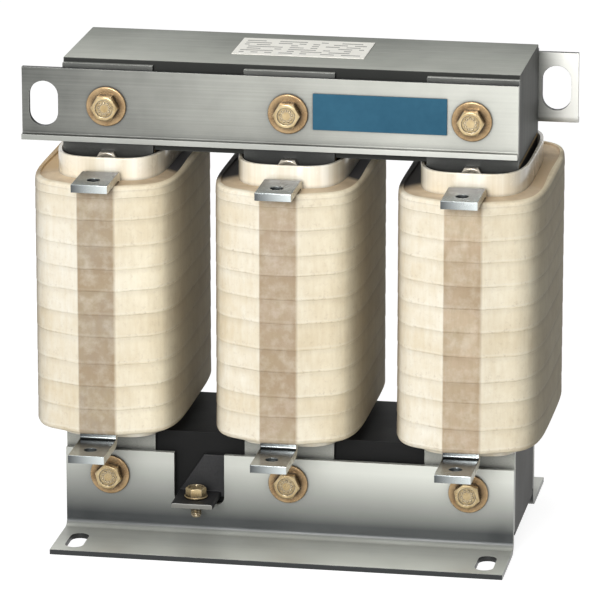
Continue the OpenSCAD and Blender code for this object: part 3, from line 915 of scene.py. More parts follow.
# Painted reflections as broad upright bands, and a thin painted shade at the former's foot
FORMER_LAMINATE = SurfaceFinish(
    "former_laminate", tint(255, 251, 238), tint(222, 208, 180), tint(255, 252, 242),
    metallic=0.0, roughness=0.24, grain=Grain.REFLECTION_BANDS, grain_share=0.85, grain_relief=0.0,
    mottle_share=0.15, mottle_scale=28.0, corner_shade=0.7, corner_shade_reach=2.5 * MM, coat=0.5)
WEDGE_WOOD = SurfaceFinish(
    "wedge_wood", tint(196, 164, 116), tint(156, 120, 76), tint(206, 178, 132),
    metallic=0.0, roughness=0.62, grain=Grain.ALONG_Z, grain_share=0.8, grain_relief=0.25)
WINDING_COPPER = SurfaceFinish(
    "winding_copper", tint(222, 144, 98), tint(178, 100, 62), tint(236, 176, 136),
    metallic=0.95, roughness=0.3, grain=Grain.ALONG_X)
# BarFinish paints a sheen on the bars' fronts and darkens their other faces
TERMINAL_BAR = BarFinish(
    "tinned_bar", tint(214, 221, 220), tint(56, 59, 61), tint(250, 247, 236),
    metallic=0.8, roughness=0.24, grain=Grain.ALONG_Y, grain_share=0.1, grain_relief=0.03,
    mottle_share=0.25, mottle_scale=30.0, wear_and_highlight_radius=0.35 * MM, wear_and_highlight_gain=0.6, corner_shade=0.9)
# Pale tone on the bars' right side faces: painted light on faces that the lamps leave in shade
BAR_SIDE = SurfaceFinish(
    "painted_lit_bar_side", tint(255, 248, 230), tint(224, 212, 184), tint(255, 252, 242),
    metallic=0.1, roughness=0.3, grain=Grain.ALONG_Y, grain_share=0.4, mottle_scale=60.0, corner_shade=0.1)
# Strong corner shade paints a dark ring where heads and nuts meet washers
GOLD_ZINC = SurfaceFinish(
    "gold_zinc", tint(208, 178, 134), tint(126, 96, 60), tint(252, 230, 196),
    metallic=0.6, roughness=0.25, grain=Grain.EVEN, grain_share=0.3, grain_relief=0.04,
    mottle_share=0.5, mottle_scale=90.0, wear_and_highlight_radius=0.5 * MM, wear_and_highlight_gain=3.0,
    corner_shade=2.0, corner_shade_reach=6.0 * MM)
# Near-white edge colour: a painted highlight on the heads' rims
HEAD_ZINC = replace(GOLD_ZINC, name="head_zinc", light=tint(220, 200, 156), dark=tint(146, 120, 76),
                    edge=tint(255, 252, 240))
LIMB_ZINC = replace(GOLD_ZINC, name="limb_zinc", light=tint(214, 206, 190), dark=tint(138, 130, 116),
                    edge=tint(250, 246, 238))
EARTH_STEEL = SurfaceFinish(
    "earth_steel", tint(52, 52, 53), tint(36, 36, 37), tint(100, 100, 100),
    metallic=0.1, roughness=0.6, grain=Grain.ALONG_Y, mottle_scale=40.0, wear_and_highlight_gain=1.2, specular=0.2)
PLATE_BLUE = SurfaceFinish(
    "plate_blue", tint(46, 96, 120), tint(36, 82, 106), tint(92, 132, 152),
    metallic=0.0, roughness=0.5, grain=Grain.EVEN, grain_share=0.3, grain_relief=0.03,
    mottle_share=0.5, mottle_scale=30.0, corner_shade=0.3, specular=0.15)


def dress(piece: Piece, slot: str, finish: Finish, *nodes: str) -> None:
    """Give a piece its finish and body, and hide the CAD nodes that it stands for.

    Args:
        piece: The finished piece.
        slot: The record's material slot; not used.
        finish: The finish that it wears.
        *nodes: CAD nodes that it stands for.
    """
    piece.data.materials.clear()
    piece.data.materials.append(finish.material())
    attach(piece, BODY)
    if nodes:
        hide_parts(*nodes)
    LOG.info("%s: %d faces in %s", piece.name, len(piece.data.polygons), finish.name)


def paint_node(node: str, finish: Finish) -> None:
    """Give a CAD node that stays as it is a finish."""
    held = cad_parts[node]
    if not held.material_slots:
        held.data.materials.append(finish.material())
    for slot in held.material_slots:
        slot.material = finish.material()
    LOG.info("%s: kept, in %s", node, finish.name)


@dataclass(frozen=True)
class Holes:
    """Where the holes of a sheet run, and the finish of their walls, which the frame paints dark as shade.
    """

    across: Way
    finish: Finish
    layer: float = math.inf
    rim: float = 5.0 * MM
    flattest: float = 0.96


@dataclass
class FoldedPiece:
    """A sheet, bar or block whose solid is right, with its edges rounded."""

    node: str
    slot: str
    finish: Finish
    edge: float = 0.3 * MM
    segments: int = 2
    cuts: tuple[tuple[Way, Finish], ...] = ()
    holes: Holes | None = None
    flat_angle: float = 0.5
    cut_look: float = 0.9

    def build(self) -> None:
        """Copy the node's solid, merge its flat faces, round its edges and dress it."""
        piece = Bench.copy_of(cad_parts[self.node], f"{self.node}_finished", Matrix.Identity(4))
        with Bench.editing(piece):
            bpy.ops.mesh.remove_doubles(threshold=SAME_POINT)
            bpy.ops.mesh.dissolve_limited(angle_limit=math.radians(self.flat_angle))
        Bench.soften(piece, self.edge, self.segments)
        dress(piece, self.slot, self.finish, self.node)
        for way, finish in self.cuts:
            self.finish_cut_edge(piece, Vector(way), finish)
        if self.holes:
            self.line_holes(piece, self.holes)

    def line_holes(self, piece: Piece, holes: Holes) -> None:
        """Give the walls of the sheet's holes a finish of their own, dark as painted shade in the frame.

        Args:
            piece: The dressed piece.
            holes: Direction through the sheet, depth of the sheet's layer and finish of the walls.
        """
        low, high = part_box(self.node)
        across = Vector(holes.across)
        plane = [axis for axis in range(3) if not holes.across[axis]]
        piece.data.materials.append(holes.finish.material())
        for face in piece.data.polygons:
            wall = abs(face.normal.dot(across)) < holes.flattest
            in_layer = across.dot(face.center - low) < holes.layer
            inside = all(low[i] + holes.rim < face.center[i] < high[i] - holes.rim for i in plane)
            if wall and in_layer and inside:
                face.material_index = len(piece.data.materials) - 1

    def finish_cut_edge(self, piece: Piece, way: Vector, finish: Finish) -> None:
        """Give the sheet's outermost cut edge a finish of its own: painted shade on the rails' tops, and
        bare steel with a painted highlight on the other cut edges.

        Args:
            piece: The dressed piece.
            way: Direction that the cut edge looks in.
            finish: The finish of the cut edge.
        """
        outermost = max(way.dot(corner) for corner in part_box(self.node))
        piece.data.materials.append(finish.material())
        for face in piece.data.polygons:
            if face.normal.dot(way) > self.cut_look and outermost - way.dot(face.center) < self.edge:
                face.material_index = len(piece.data.materials) - 1


def tight_loop(points: list[Vector]) -> list[Vector]:
    """Pull a loop tight round points of one plane.

    Args:
        points: Points with x and y.

    Returns:
        The points that the loop touches, counter-clockwise.
    """
    ordered = sorted(points, key=lambda point: (point.x, point.y))
    loop = []
    for side in (ordered, ordered[::-1]):
        chain: list[Vector] = []
        for point in side:
            while len(chain) > 1 and (chain[-1] - chain[-2]).cross(point - chain[-1]) <= 0:
                chain.pop()
            chain.append(point)
        loop += chain[:-1]
    return loop


def lengths_along(path: list[Vector]) -> list[float]:
    """Give the distance along a path to each of its points."""
    lengths = [0.0]
    for before, after in zip(path, path[1:]):
        lengths.append(lengths[-1] + (after - before).length)
    return lengths


def even_points(path: list[Vector], count: int) -> list[Vector]:
    """Place points evenly along a path.

    Args:
        path: The path's points.
        count: Number of steps.

    Returns:
        One point more than steps, both ends included.
    """
    lengths = lengths_along(path)
    placed = []
    index = 0
    for step in range(count + 1):
        goal = lengths[-1] * step / count
        while index < len(path) - 2 and lengths[index + 1] < goal:
            index += 1
        share = (goal - lengths[index]) / (lengths[index + 1] - lengths[index])
        placed.append(path[index].lerp(path[index + 1], min(max(share, 0.0), 1.0)))
    return placed


def grid_piece(name: str, columns: int, rows: int) -> tuple[Piece, list[tuple[int, int]]]:
    """Add a flat grid for a formula to wrap, and give the column and row of each of its points."""
    piece = Bench.add(name, bpy.ops.mesh.primitive_grid_add, x_subdivisions=columns, y_subdivisions=rows,
                      size=2.0)
    cells = [(round((point.co.x + 1) / 2 * columns), round((point.co.y + 1) / 2 * rows))
             for point in piece.data.vertices]
    return piece, cells


def sine_and_cosine(angle: float) -> Span:
    """Give the sine and the cosine of an angle in degrees."""
    return math.sin(math.radians(angle)), math.cos(math.radians(angle))


@dataclass
class TapeRow:
    """One ring of a coil's skin: height, lift off the outline, share of the way to the former, and turn."""

    height: float
    lift: float
    share: float
    turn: float


@dataclass
class TapedCoil:
    """The taped skin of one coil, from the former out, down and back to the former."""

    column: int
    rng: random.Random
    turn_height: float = 13.4 * MM
    turn_spread: float = 1.4 * MM
    tape_step: float = 0.3 * MM
    tape_edge: float = 0.25 * MM
    middle_lift: float = 0.75
    edge_lift: float = 0.1
    edge_turn: float = 0.985
    edge_round: float = 2.0 * MM
    foot_round: float = 2.2 * MM
    rim_width: float = 1.6 * MM
    rim_turn: float = 4.5 * MM
    top_ledge: float = 1.2 * MM
    foot_angles: tuple[float, ...] = (18, 36, 54, 72, 90)
    foot_turns: Span = (-0.6, -0.4)
    edge_angles: tuple[float, ...] = (0, 22.5, 45)
    rim_angles: tuple[float, ...] = (45, 67.5, 90)
    rounding_start: float = 0.06
    rounding_turn: float = 0.3
    ledge_turns: tuple[float, float, float] = (0.2, 0.4, 0.5)
    seam_turn: float = 0.2
    sway_reach: float = 0.55 * MM
    sway_waves: int = 2
    still_turns: Span = (0.5, 1.6)
    crease_angle: float = 14.0
    oval_power: float = 4.5
    former_power: float = 4.0
    oval_steps: int = 360
    side_points: int = 76
    band_points: int = 6

    def __post_init__(self) -> None:
        """Read the coil's place and size from the frame."""
        self.low, self.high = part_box(f"tape_wrap_{self.column}")
        self.bar_low, self.bar_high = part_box(f"bottom_terminal_{self.column}")
        former_low, former_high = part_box(f"coil_former_{self.column}")
        self.centre = Vector(((self.low.x + self.high.x) / 2, 0.0))
        self.oval = Vector(((self.high.x - self.low.x) / 2, self.high.y))
        self.former = Vector(((former_high.x - former_low.x) / 2, former_high.y))

    @staticmethod
    def oval_point(half: Vector, power: float, way: Vector) -> Vector:
        """Give the point of a squared oval in a direction.

        Args:
            half: Half its width and half its depth.
            power: How square it is, 2 for an ellipse.
            way: Direction from its centre.

        Returns:
            The point, from its centre.
        """
        reach = (abs(way.x / half.x) ** power + abs(way.y / half.y) ** power) ** (-1.0 / power)
        return way * reach

    def outline(self) -> tuple[list[Vector], list[float]]:
        """Lay the tape's outline round the oval and over the flat bar.

        Returns:
            Points from the rear by the left, and their distances from the bar's middle.
        """
        corners = [Vector((x, self.low.y)) - self.centre for x in (self.bar_low.x, self.bar_high.x)]
        angles = [math.tau * step / self.oval_steps for step in range(self.oval_steps)]
        ways = [Vector((math.cos(angle), math.sin(angle))) for angle in angles]
        loop = tight_loop([self.oval_point(self.oval, self.oval_power, way) for way in ways] + corners)
        rear = max(range(len(loop)), key=lambda index: loop[index].y - abs(loop[index].x) * MM)
        loop = loop[rear:] + loop[:rear + 1]
        left, right = (loop.index(corner) for corner in corners)
        points = [loop[0]]
        stretches = ((0, left, self.side_points), (left, right, self.band_points),
                     (right, len(loop) - 1, self.side_points))
        for first, last, count in stretches:
            points += even_points(loop[first:last + 1], count)[1:]
        runs = lengths_along(points)
        middle = (runs[self.side_points] + runs[self.side_points + self.band_points]) / 2
        return points, [run - middle for run in runs]

    def turn_edges(self) -> list[float]:
        """Give the heights of the turns' lower edges, with the last turn's upper edge."""
        first = self.low.z + self.foot_round
        last = self.high.z - self.edge_round - self.rim_turn
        count = round((last - first) / self.turn_height)
        edges = [first + (last - first) * step / count for step in range(count + 1)]
        loose = [edge + self.rng.uniform(-self.turn_spread, self.turn_spread) for edge in edges[1:-1]]
        return [edges[0], *loose, edges[-1], last + self.rim_turn]

    def rows(self, edges: list[float]) -> list[TapeRow]:
        """List the rings of the skin from the former at the foot to the former at the top.

        Args:
            edges: Heights of the turns' edges.

        Returns:
            The rings in order.
        """
        bottom, top, count = self.low.z, self.high.z, len(edges) - 1
        inner_turn, outer_turn = self.foot_turns
        rows = [TapeRow(bottom, -self.foot_round, 1.0, inner_turn),
                TapeRow(bottom, -self.foot_round, 0.0, outer_turn)]
        for angle in self.foot_angles:
            sine, cosine = sine_and_cosine(angle)
            rows.append(TapeRow(bottom + self.foot_round * (1 - cosine), -self.foot_round * (1 - sine), 0.0,
                                outer_turn + self.rounding_turn * sine))
        for turn, (lower, upper) in enumerate(zip(edges, edges[1:])):
            rows.append(TapeRow(lower, self.tape_step, 0.0, turn))
            rows.append(TapeRow((lower + upper) / 2, self.tape_step * self.middle_lift, 0.0, turn + 0.5))
            rows.append(TapeRow(upper - self.tape_edge, self.tape_step * self.edge_lift, 0.0,
                                turn + self.edge_turn))
        for first_turn, angles in ((count, self.edge_angles), (RIM_TURN, self.rim_angles)):
            for angle in angles:
                sine, cosine = sine_and_cosine(angle)
                turn = first_turn + self.rounding_start + self.rounding_turn * sine
                rows.append(TapeRow(top - self.edge_round * (1 - sine), -self.edge_round * (1 - cosine),
                                    0.0, turn))
        rim_inside = -self.edge_round - self.rim_width
        ledge_height, ledge_outside = top - self.top_ledge, rim_inside - self.tape_edge
        lip, corner, inside = (LEDGE_TURN + fraction for fraction in self.ledge_turns)
        rows.append(TapeRow(top, rim_inside, 0.0, RIM_TURN + 0.5))
        rows.append(TapeRow(top, rim_inside, 0.0, lip))
        rows.append(TapeRow(ledge_height, ledge_outside, 0.0, corner))
        rows.append(TapeRow(ledge_height, ledge_outside, 1.0, inside))
        return rows

    def build(self, finish: TapeFinish) -> None:
        """Wrap a grid into the coil's skin, with the finish's map, and dress it."""
        points, runs = self.outline()
        edges = self.turn_edges()
        rows = self.rows(edges)
        sways = [(self.rng.uniform(0, self.sway_reach), self.rng.uniform(0, math.tau)) for _ in edges]
        piece, cells = grid_piece(f"taped_coil_{self.column}", len(points) - 1, len(rows))
        mesh = piece.data
        first_still, last_still = self.still_turns
        for vertex, (column, row) in zip(mesh.vertices, cells):
            ring = rows[row % len(rows)]
            way = points[column].normalized()
            outer = points[column] + way * ring.lift
            inner = self.oval_point(self.former, self.former_power, way)
            flat = self.centre + outer.lerp(inner, ring.share)
            sway = 0.0
            if first_still < ring.turn < len(edges) - last_still:
                reach, phase = sways[round(ring.turn)]
                sway = reach * math.sin(self.sway_waves * math.tau * column / (len(points) - 1) + phase)
            vertex.co = (flat.x, flat.y, ring.height + sway)
        mesh.uv_layers[0].name = finish.run_map
        for loop in mesh.loops:
            column, row = cells[loop.vertex_index]
            turn = rows[row].turn if row < len(rows) else rows[-1].turn + self.seam_turn
            mesh.uv_layers[0].data[loop.index].uv = (runs[column], turn)
        Bench.close_up(piece)
        Bench.smooth(piece, self.crease_angle)
        dress(piece, "coil_tape", finish, f"tape_wrap_{self.column}")


@dataclass(frozen=True)
class Thread:
    """Size of a metric thread and its hexagon."""

    radius: float
    pitch: float
    across_flats: float


BoltPlace = tuple[float, float, float]
M8 = Thread(4.0 * MM, 1.25 * MM, 13.0 * MM)
M6 = Thread(3.0 * MM, 1.0 * MM, 10.0 * MM)
TO_FRONT = Matrix.Rotation(math.radians(90), 4, "X")
TO_REAR = Matrix.Rotation(math.radians(-90), 4, "X")


@dataclass(frozen=True)
class FastenerDetail:
    """Details of the fasteners: roundings, the chamfer's angle, and shares of their main sizes."""

    face: float = 0.95
    flare: float = 60.0
    recess: float = 0.76
    recess_depth: float = 0.05
    dot_ring: float = 0.62
    dot_radius: float = 0.055
    dot_height: float = 0.7
    dot_start: float = 0.3
    head_edge: float = 0.14 * MM
    nut_edge: float = 0.12 * MM
    nut_play: float = 0.03 * MM
    countersink: float = 0.45 * MM
    washer_edge: float = 0.15 * MM
    washer_rim: float = 0.38
    shank_edge: float = 0.2 * MM
    shank: float = 0.97
    thread_depth: float = 0.55
    tip_slope: float = 0.8
    near: float = 0.01 * MM


DETAIL = FastenerDetail()


def hexagon_corner(across_flats: float) -> float:
    """Give the distance of a hexagon's corners from its middle."""
    return across_flats / 2 / math.cos(math.radians(30))


def along_depth(depth: float, turn: Matrix) -> Matrix:
    """Give the place of a part that is turned along y and shifted to a depth."""
    return Matrix.Translation((0.0, depth, 0.0)) @ turn


def hexagon(name: str, across_flats: float, height: float, both_ends: bool) -> Piece:
    """Make a hexagon with a turned chamfer at its outer end, seat at z 0, corners along x.

    Args:
        name: Name of the piece.
        across_flats: Width across flats.
        height: Height from the seat.
        both_ends: Chamfer the seat's end too.

    Returns:
        The chamfered hexagon.
    """
    face = across_flats / 2 * DETAIL.face
    flare = face + height * math.tan(math.radians(DETAIL.flare))
    middle = (0.0, 0.0, height / 2)
    piece = Bench.add(name, bpy.ops.mesh.primitive_cylinder_add, vertices=6,
                      radius=hexagon_corner(across_flats), depth=height, location=middle,
                      rotation=(0.0, 0.0, math.radians(30)))
    for wide, narrow in ((flare, face), (face, flare))[:2 if both_ends else 1]:
        cone = Bench.add("chamfer_tool", bpy.ops.mesh.primitive_cone_add, vertices=72, radius1=wide,
                         radius2=narrow, depth=height, location=middle)
        Bench.carve(piece, cone, "INTERSECT")
    return piece


def drill(piece: Piece, radius: float, low: float, high: float) -> None:
    """Take a round hole along z out of a piece, from a lower to an upper end."""
    tool = Bench.add("drill_tool", bpy.ops.mesh.primitive_cylinder_add, vertices=48, radius=radius,
                     depth=high - low, location=(0.0, 0.0, (low + high) / 2))
    Bench.carve(piece, tool, "DIFFERENCE")


def hex_head(name: str, thread: Thread, height: float, dots: int) -> Piece:
    """Make a bolt head with a round recess, a raised rim and raised dots.

    Args:
        name: Name of the piece.
        thread: Thread and hexagon size.
        height: Height of the head.
        dots: Number of raised dots in the recess.

    Returns:
        The head, seat at z 0.
    """
    recess = thread.across_flats / 2 * DETAIL.recess
    depth = thread.across_flats * DETAIL.recess_depth
    head = hexagon(name, thread.across_flats, height, both_ends=False)
    drill(head, recess, height - depth, height + depth)
    Bench.soften(head, DETAIL.head_edge)
    pieces = [head]
    ring = recess * DETAIL.dot_ring
    for index in range(dots):
        angle = math.tau * (index + DETAIL.dot_start) / dots
        dot = Bench.add(f"{name}_dot", bpy.ops.mesh.primitive_uv_sphere_add, segments=12, ring_count=6,
                        radius=thread.across_flats * DETAIL.dot_radius, scale=(1.0, 1.0, DETAIL.dot_height),
                        location=(ring * math.cos(angle), ring * math.sin(angle), height - depth))
        Bench.smooth(dot, angle=60.0)
        pieces.append(dot)
    return Bench.join(name, pieces)


def hex_nut(name: str, thread: Thread, height: float) -> Piece:
    """Make a nut with chamfers at both ends and a countersunk bore, seat at z 0.

    Args:
        name: Name of the piece.
        thread: Thread and hexagon size.
        height: Height of the nut.

    Returns:
        The nut.
    """
    nut = hexagon(name, thread.across_flats, height, both_ends=True)
    bore = thread.radius + DETAIL.nut_play
    drill(nut, bore, -height, 2 * height)
    with Bench.editing(nut):
        Bench.choose_edges(nut, lambda edge: all(
            abs(point.co.z - height) < DETAIL.near and point.co.xy.length < bore + DETAIL.near
            for point in edge.verts))
        bpy.ops.mesh.bevel(offset=DETAIL.countersink, segments=1, affect="EDGES")
    Bench.soften(nut, DETAIL.nut_edge)
    return nut


def plain_washer(name: str, radius: float, thickness: float, bore: float) -> Piece:
    """Make a washer with a well rounded rim, from z 0 up.

    Args:
        name: Name of the piece.
        radius: Outer radius.
        thickness: Thickness.
        bore: Radius of its hole.

    Returns:
        The washer.
    """
    washer = Bench.add(name, bpy.ops.mesh.primitive_cylinder_add, vertices=96, radius=radius,
                       depth=thickness, location=(0.0, 0.0, thickness / 2))
    drill(washer, bore, -thickness, 2 * thickness)
    with Bench.editing(washer):
        Bench.choose_edges(washer, lambda edge: (
            abs(edge.verts[0].co.z - edge.verts[1].co.z) < SAME_POINT
            and all(point.co.xy.length > radius - DETAIL.near for point in edge.verts)))
        bpy.ops.mesh.bevel(offset=thickness * DETAIL.washer_rim, segments=4, affect="EDGES")
    Bench.soften(washer, DETAIL.washer_edge)
    return washer


def threaded_rod(name: str, thread: Thread, length: float, sides: int = 24, steps: int = 6) -> Piece:
    """Wrap a grid into a rod with a helical ridge and a tapered tip, from z 0 up.

    Args:
        name: Name of the piece.
        thread: Thread size.
        length: Length of the rod.
        sides: Faces round it.
        steps: Rings for each turn of the thread.

    Returns:
        The rod.
    """
    depth = DETAIL.thread_depth * thread.pitch
    rows = max(2, round(length / thread.pitch * steps))
    piece, cells = grid_piece(name, sides, rows)
    for vertex, (column, row) in zip(piece.data.vertices, cells):
        height = length * row / rows
        phase = (height / thread.pitch - column / sides) % 1.0
        ridge = thread.radius - depth * abs(2.0 * phase - 1.0)
        tip = thread.radius - max(0.0, height - length + thread.pitch) * DETAIL.tip_slope
        angle = math.tau * column / sides
        reach = min(ridge, tip)
        vertex.co = (reach * math.cos(angle), reach * math.sin(angle), height)
    Bench.close_up(piece)
    with Bench.editing(piece):
        bpy.ops.mesh.fill_holes(sides=0)
        bpy.ops.mesh.select_all(action="SELECT")
        bpy.ops.mesh.normals_make_consistent(inside=False)
    Bench.smooth(piece, angle=50.0)
    return piece


def bolt_along_depth(name: str, head: Piece, thread: Thread, seat: float, end: float,
                     threaded: float) -> Piece:
    """Join a head, a plain shank and a threaded end into a bolt along y, on x 0 and z 0.

    Args:
        name: Name of the bolt.
        head: The head, seat at z 0.
        thread: Thread size.
        seat: Depth of the head's seat.
        end: Depth of the thread's end.
        threaded: Length of the thread.

    Returns:
        The bolt.
    """
    length = end - threaded - seat
    shank = Bench.add(f"{name}_shank", bpy.ops.mesh.primitive_cylinder_add, vertices=32,
                      radius=thread.radius * DETAIL.shank, depth=length, location=(0.0, 0.0, length / 2))
    Bench.soften(shank, DETAIL.shank_edge)
    rod = threaded_rod(f"{name}_thread", thread, threaded)
    head.data.transform(along_depth(seat, TO_FRONT))
    shank.data.transform(along_depth(seat, TO_REAR))
    rod.data.transform(along_depth(end - threaded, TO_REAR))
    return Bench.join(name, [head, shank, rod])


def set_out(name: str, master: Piece, places: list[BoltPlace]) -> Piece:
    """Copy a fastener along y to places and join the copies.

    Args:
        name: Name of the set.
        master: The fastener, on x 0 and z 0, which is deleted.
        places: For each copy, x and z, and the turn about its axis in degrees.

    Returns:
        The joined set.
    """
    copies = []
    for index, (x, z, turn) in enumerate(places):
        place = Matrix.Translation((x, 0.0, z)) @ Matrix.Rotation(math.radians(turn), 4, "Y")
        copies.append(Bench.copy_of(master, f"{name}_{index}", place))
    bpy.data.objects.remove(master)
    return Bench.join(name, copies)


def dress_nuts(name: str, node: str, thread: Thread, places: list[BoltPlace]) -> None:
    """Build and dress the nuts at the places of a set of bolts, for a CAD node."""
    low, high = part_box(node)
    nut = hex_nut("nut_master", thread, high.y - low.y)
    nut.data.transform(along_depth(low.y, TO_REAR))
    dress(set_out(name, nut, places), "gold_zinc", GOLD_ZINC, node)


class RowName(Enum):
    """The two rows of clamp bolts."""

    TOP = "top"
    BOTTOM = "bottom"


@dataclass
class ClampRow:
    """Three clamp bolts with washers at both ends and nuts at the rear."""

    row: RowName
    turns: tuple[float, float, float]
    thread: Thread = M8
    washer_thickness: float = 2.0 * MM
    washer_bore: float = 4.3 * MM
    head_dots: int = 9

    def build(self) -> None:
        """Build and dress the row's bolts, washers and nuts."""
        name = f"{self.row.value}_clamp"
        bolts_low, bolts_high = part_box(f"{name}_bolts")
        low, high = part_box(f"{name}_washers")
        front, rear = low.y + self.washer_thickness, high.y - self.washer_thickness
        radius, height = (high.z - low.z) / 2, (high.z + low.z) / 2
        xs = (low.x + radius, (low.x + high.x) / 2, high.x - radius)
        places = [(x, height, turn) for x, turn in zip(xs, self.turns)]
        head = hex_head("head_master", self.thread, low.y - bolts_low.y, self.head_dots)
        bolt = bolt_along_depth("bolt_master", head, self.thread, low.y, bolts_high.y, bolts_high.y - rear)
        dress(set_out(f"{name}_bolt_set", bolt, places), "gold_zinc", HEAD_ZINC, f"{name}_bolts")
        washer = plain_washer("washer_master", radius, self.washer_thickness, self.washer_bore)
        ends = [Bench.copy_of(washer, "washer_end", along_depth(depth, turn))
                for depth, turn in ((front, TO_FRONT), (rear, TO_REAR))]
        bpy.data.objects.remove(washer)
        pair = Bench.join("washer_pair", ends)
        dress(set_out(f"{name}_washer_set", pair, places), "gold_zinc", GOLD_ZINC, f"{name}_washers")
        dress_nuts(f"{name}_nut_set", f"{name}_nuts", self.thread, places)


@dataclass
class LimbBolts:
    """Two bolts through each limb and its straps, with nuts at the rear."""

    thread: Thread = M8
    head_height: float = 5.3 * MM

    def build(self) -> None:
        """Build and dress the limb bolts and their nuts."""
        low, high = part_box("limb_bolts")
        nuts_low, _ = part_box("limb_bolt_nuts")
        half = self.thread.across_flats / 2
        corner = hexagon_corner(self.thread.across_flats)
        xs = (low.x + corner, (low.x + high.x) / 2, high.x - corner)
        places = [(x, z, 0.0) for x in xs for z in (low.z + half, high.z - half)]
        head = hex_head("head_master", self.thread, self.head_height, 0)
        seat = low.y + self.head_height
        bolt = bolt_along_depth("bolt_master", head, self.thread, seat, high.y, high.y - nuts_low.y)
        dress(set_out("limb_bolt_set", bolt, places), "gold_zinc", LIMB_ZINC, "limb_bolts")
        dress_nuts("limb_nut_set", "limb_bolt_nuts", self.thread, places)


@dataclass
class EarthBolt:
    """The flanged bolt that hangs through the earth tab, head up."""

    thread: Thread = M6
    flange_radius: float = 6.5 * MM
    flange_height: float = 1.4 * MM
    flange_bore: float = 1.5 * MM
    head_height: float = 6.0 * MM
    thread_overlap: float = 0.2 * MM
    thread_steps: int = 8
    turn: float = 12.0

    def build(self) -> None:
        """Build and dress the earth bolt."""
        low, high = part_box("earth_bolt")
        seat = high.z - self.head_height
        head = hex_head("earth_head", self.thread, self.head_height, 0)
        flange = plain_washer("earth_flange", self.flange_radius, self.flange_height, self.flange_bore)
        rod = threaded_rod("earth_thread", self.thread, seat - low.z + self.thread_overlap,
                           steps=self.thread_steps)
        hung = Matrix.Translation((0.0, 0.0, self.thread_overlap)) @ Matrix.Rotation(math.pi, 4, "X")
        rod.data.transform(hung)
        bolt = Bench.join("earth_bolt_detail", [head, flange, rod])
        place = Matrix.Translation(((low.x + high.x) / 2, (low.y + high.y) / 2, seat))
        bolt.data.transform(place @ Matrix.Rotation(math.radians(self.turn), 4, "Z"))
        dress(bolt, "gold_zinc", HEAD_ZINC, "earth_bolt")


def stand(data: bpy.types.Camera | bpy.types.Light, place: Vector, back: Vector) -> Piece:
    """Put a camera or a lamp at a place, with its back in a direction."""
    held = bpy.data.objects.new(data.name, data)
    held.location = place
    held.rotation_euler = back.to_track_quat("Z", "Y").to_euler()
    bpy.context.scene.collection.objects.link(held)
    return held


@dataclass
class PhotoCamera:
    """The camera at the photograph's viewing angle."""

    azimuth: float = 10.03
    elevation: float = 15.82
    distance: float = 2.769
    target: tuple[float, float, float] = (-1.22 * MM, 0.0, 126.45 * MM)
    lens: float = 300.37
    sensor: float = 36.0

    def build(self) -> None:
        """Place the camera and make it the scene's own."""
        turn, rise = math.radians(self.azimuth), math.radians(self.elevation)
        back = Vector((math.sin(turn) * math.cos(rise), -math.cos(turn) * math.cos(rise), math.sin(rise)))
        data = bpy.data.cameras.new("photo_camera")
        data.lens = self.lens
        data.sensor_width = self.sensor
        bpy.context.scene.camera = stand(data, Vector(self.target) + back * self.distance, back)


@dataclass(frozen=True)
class SoftBox:
    """One soft studio lamp."""

    name: str
    place: tuple[float, float, float]
    size: float
    power: float


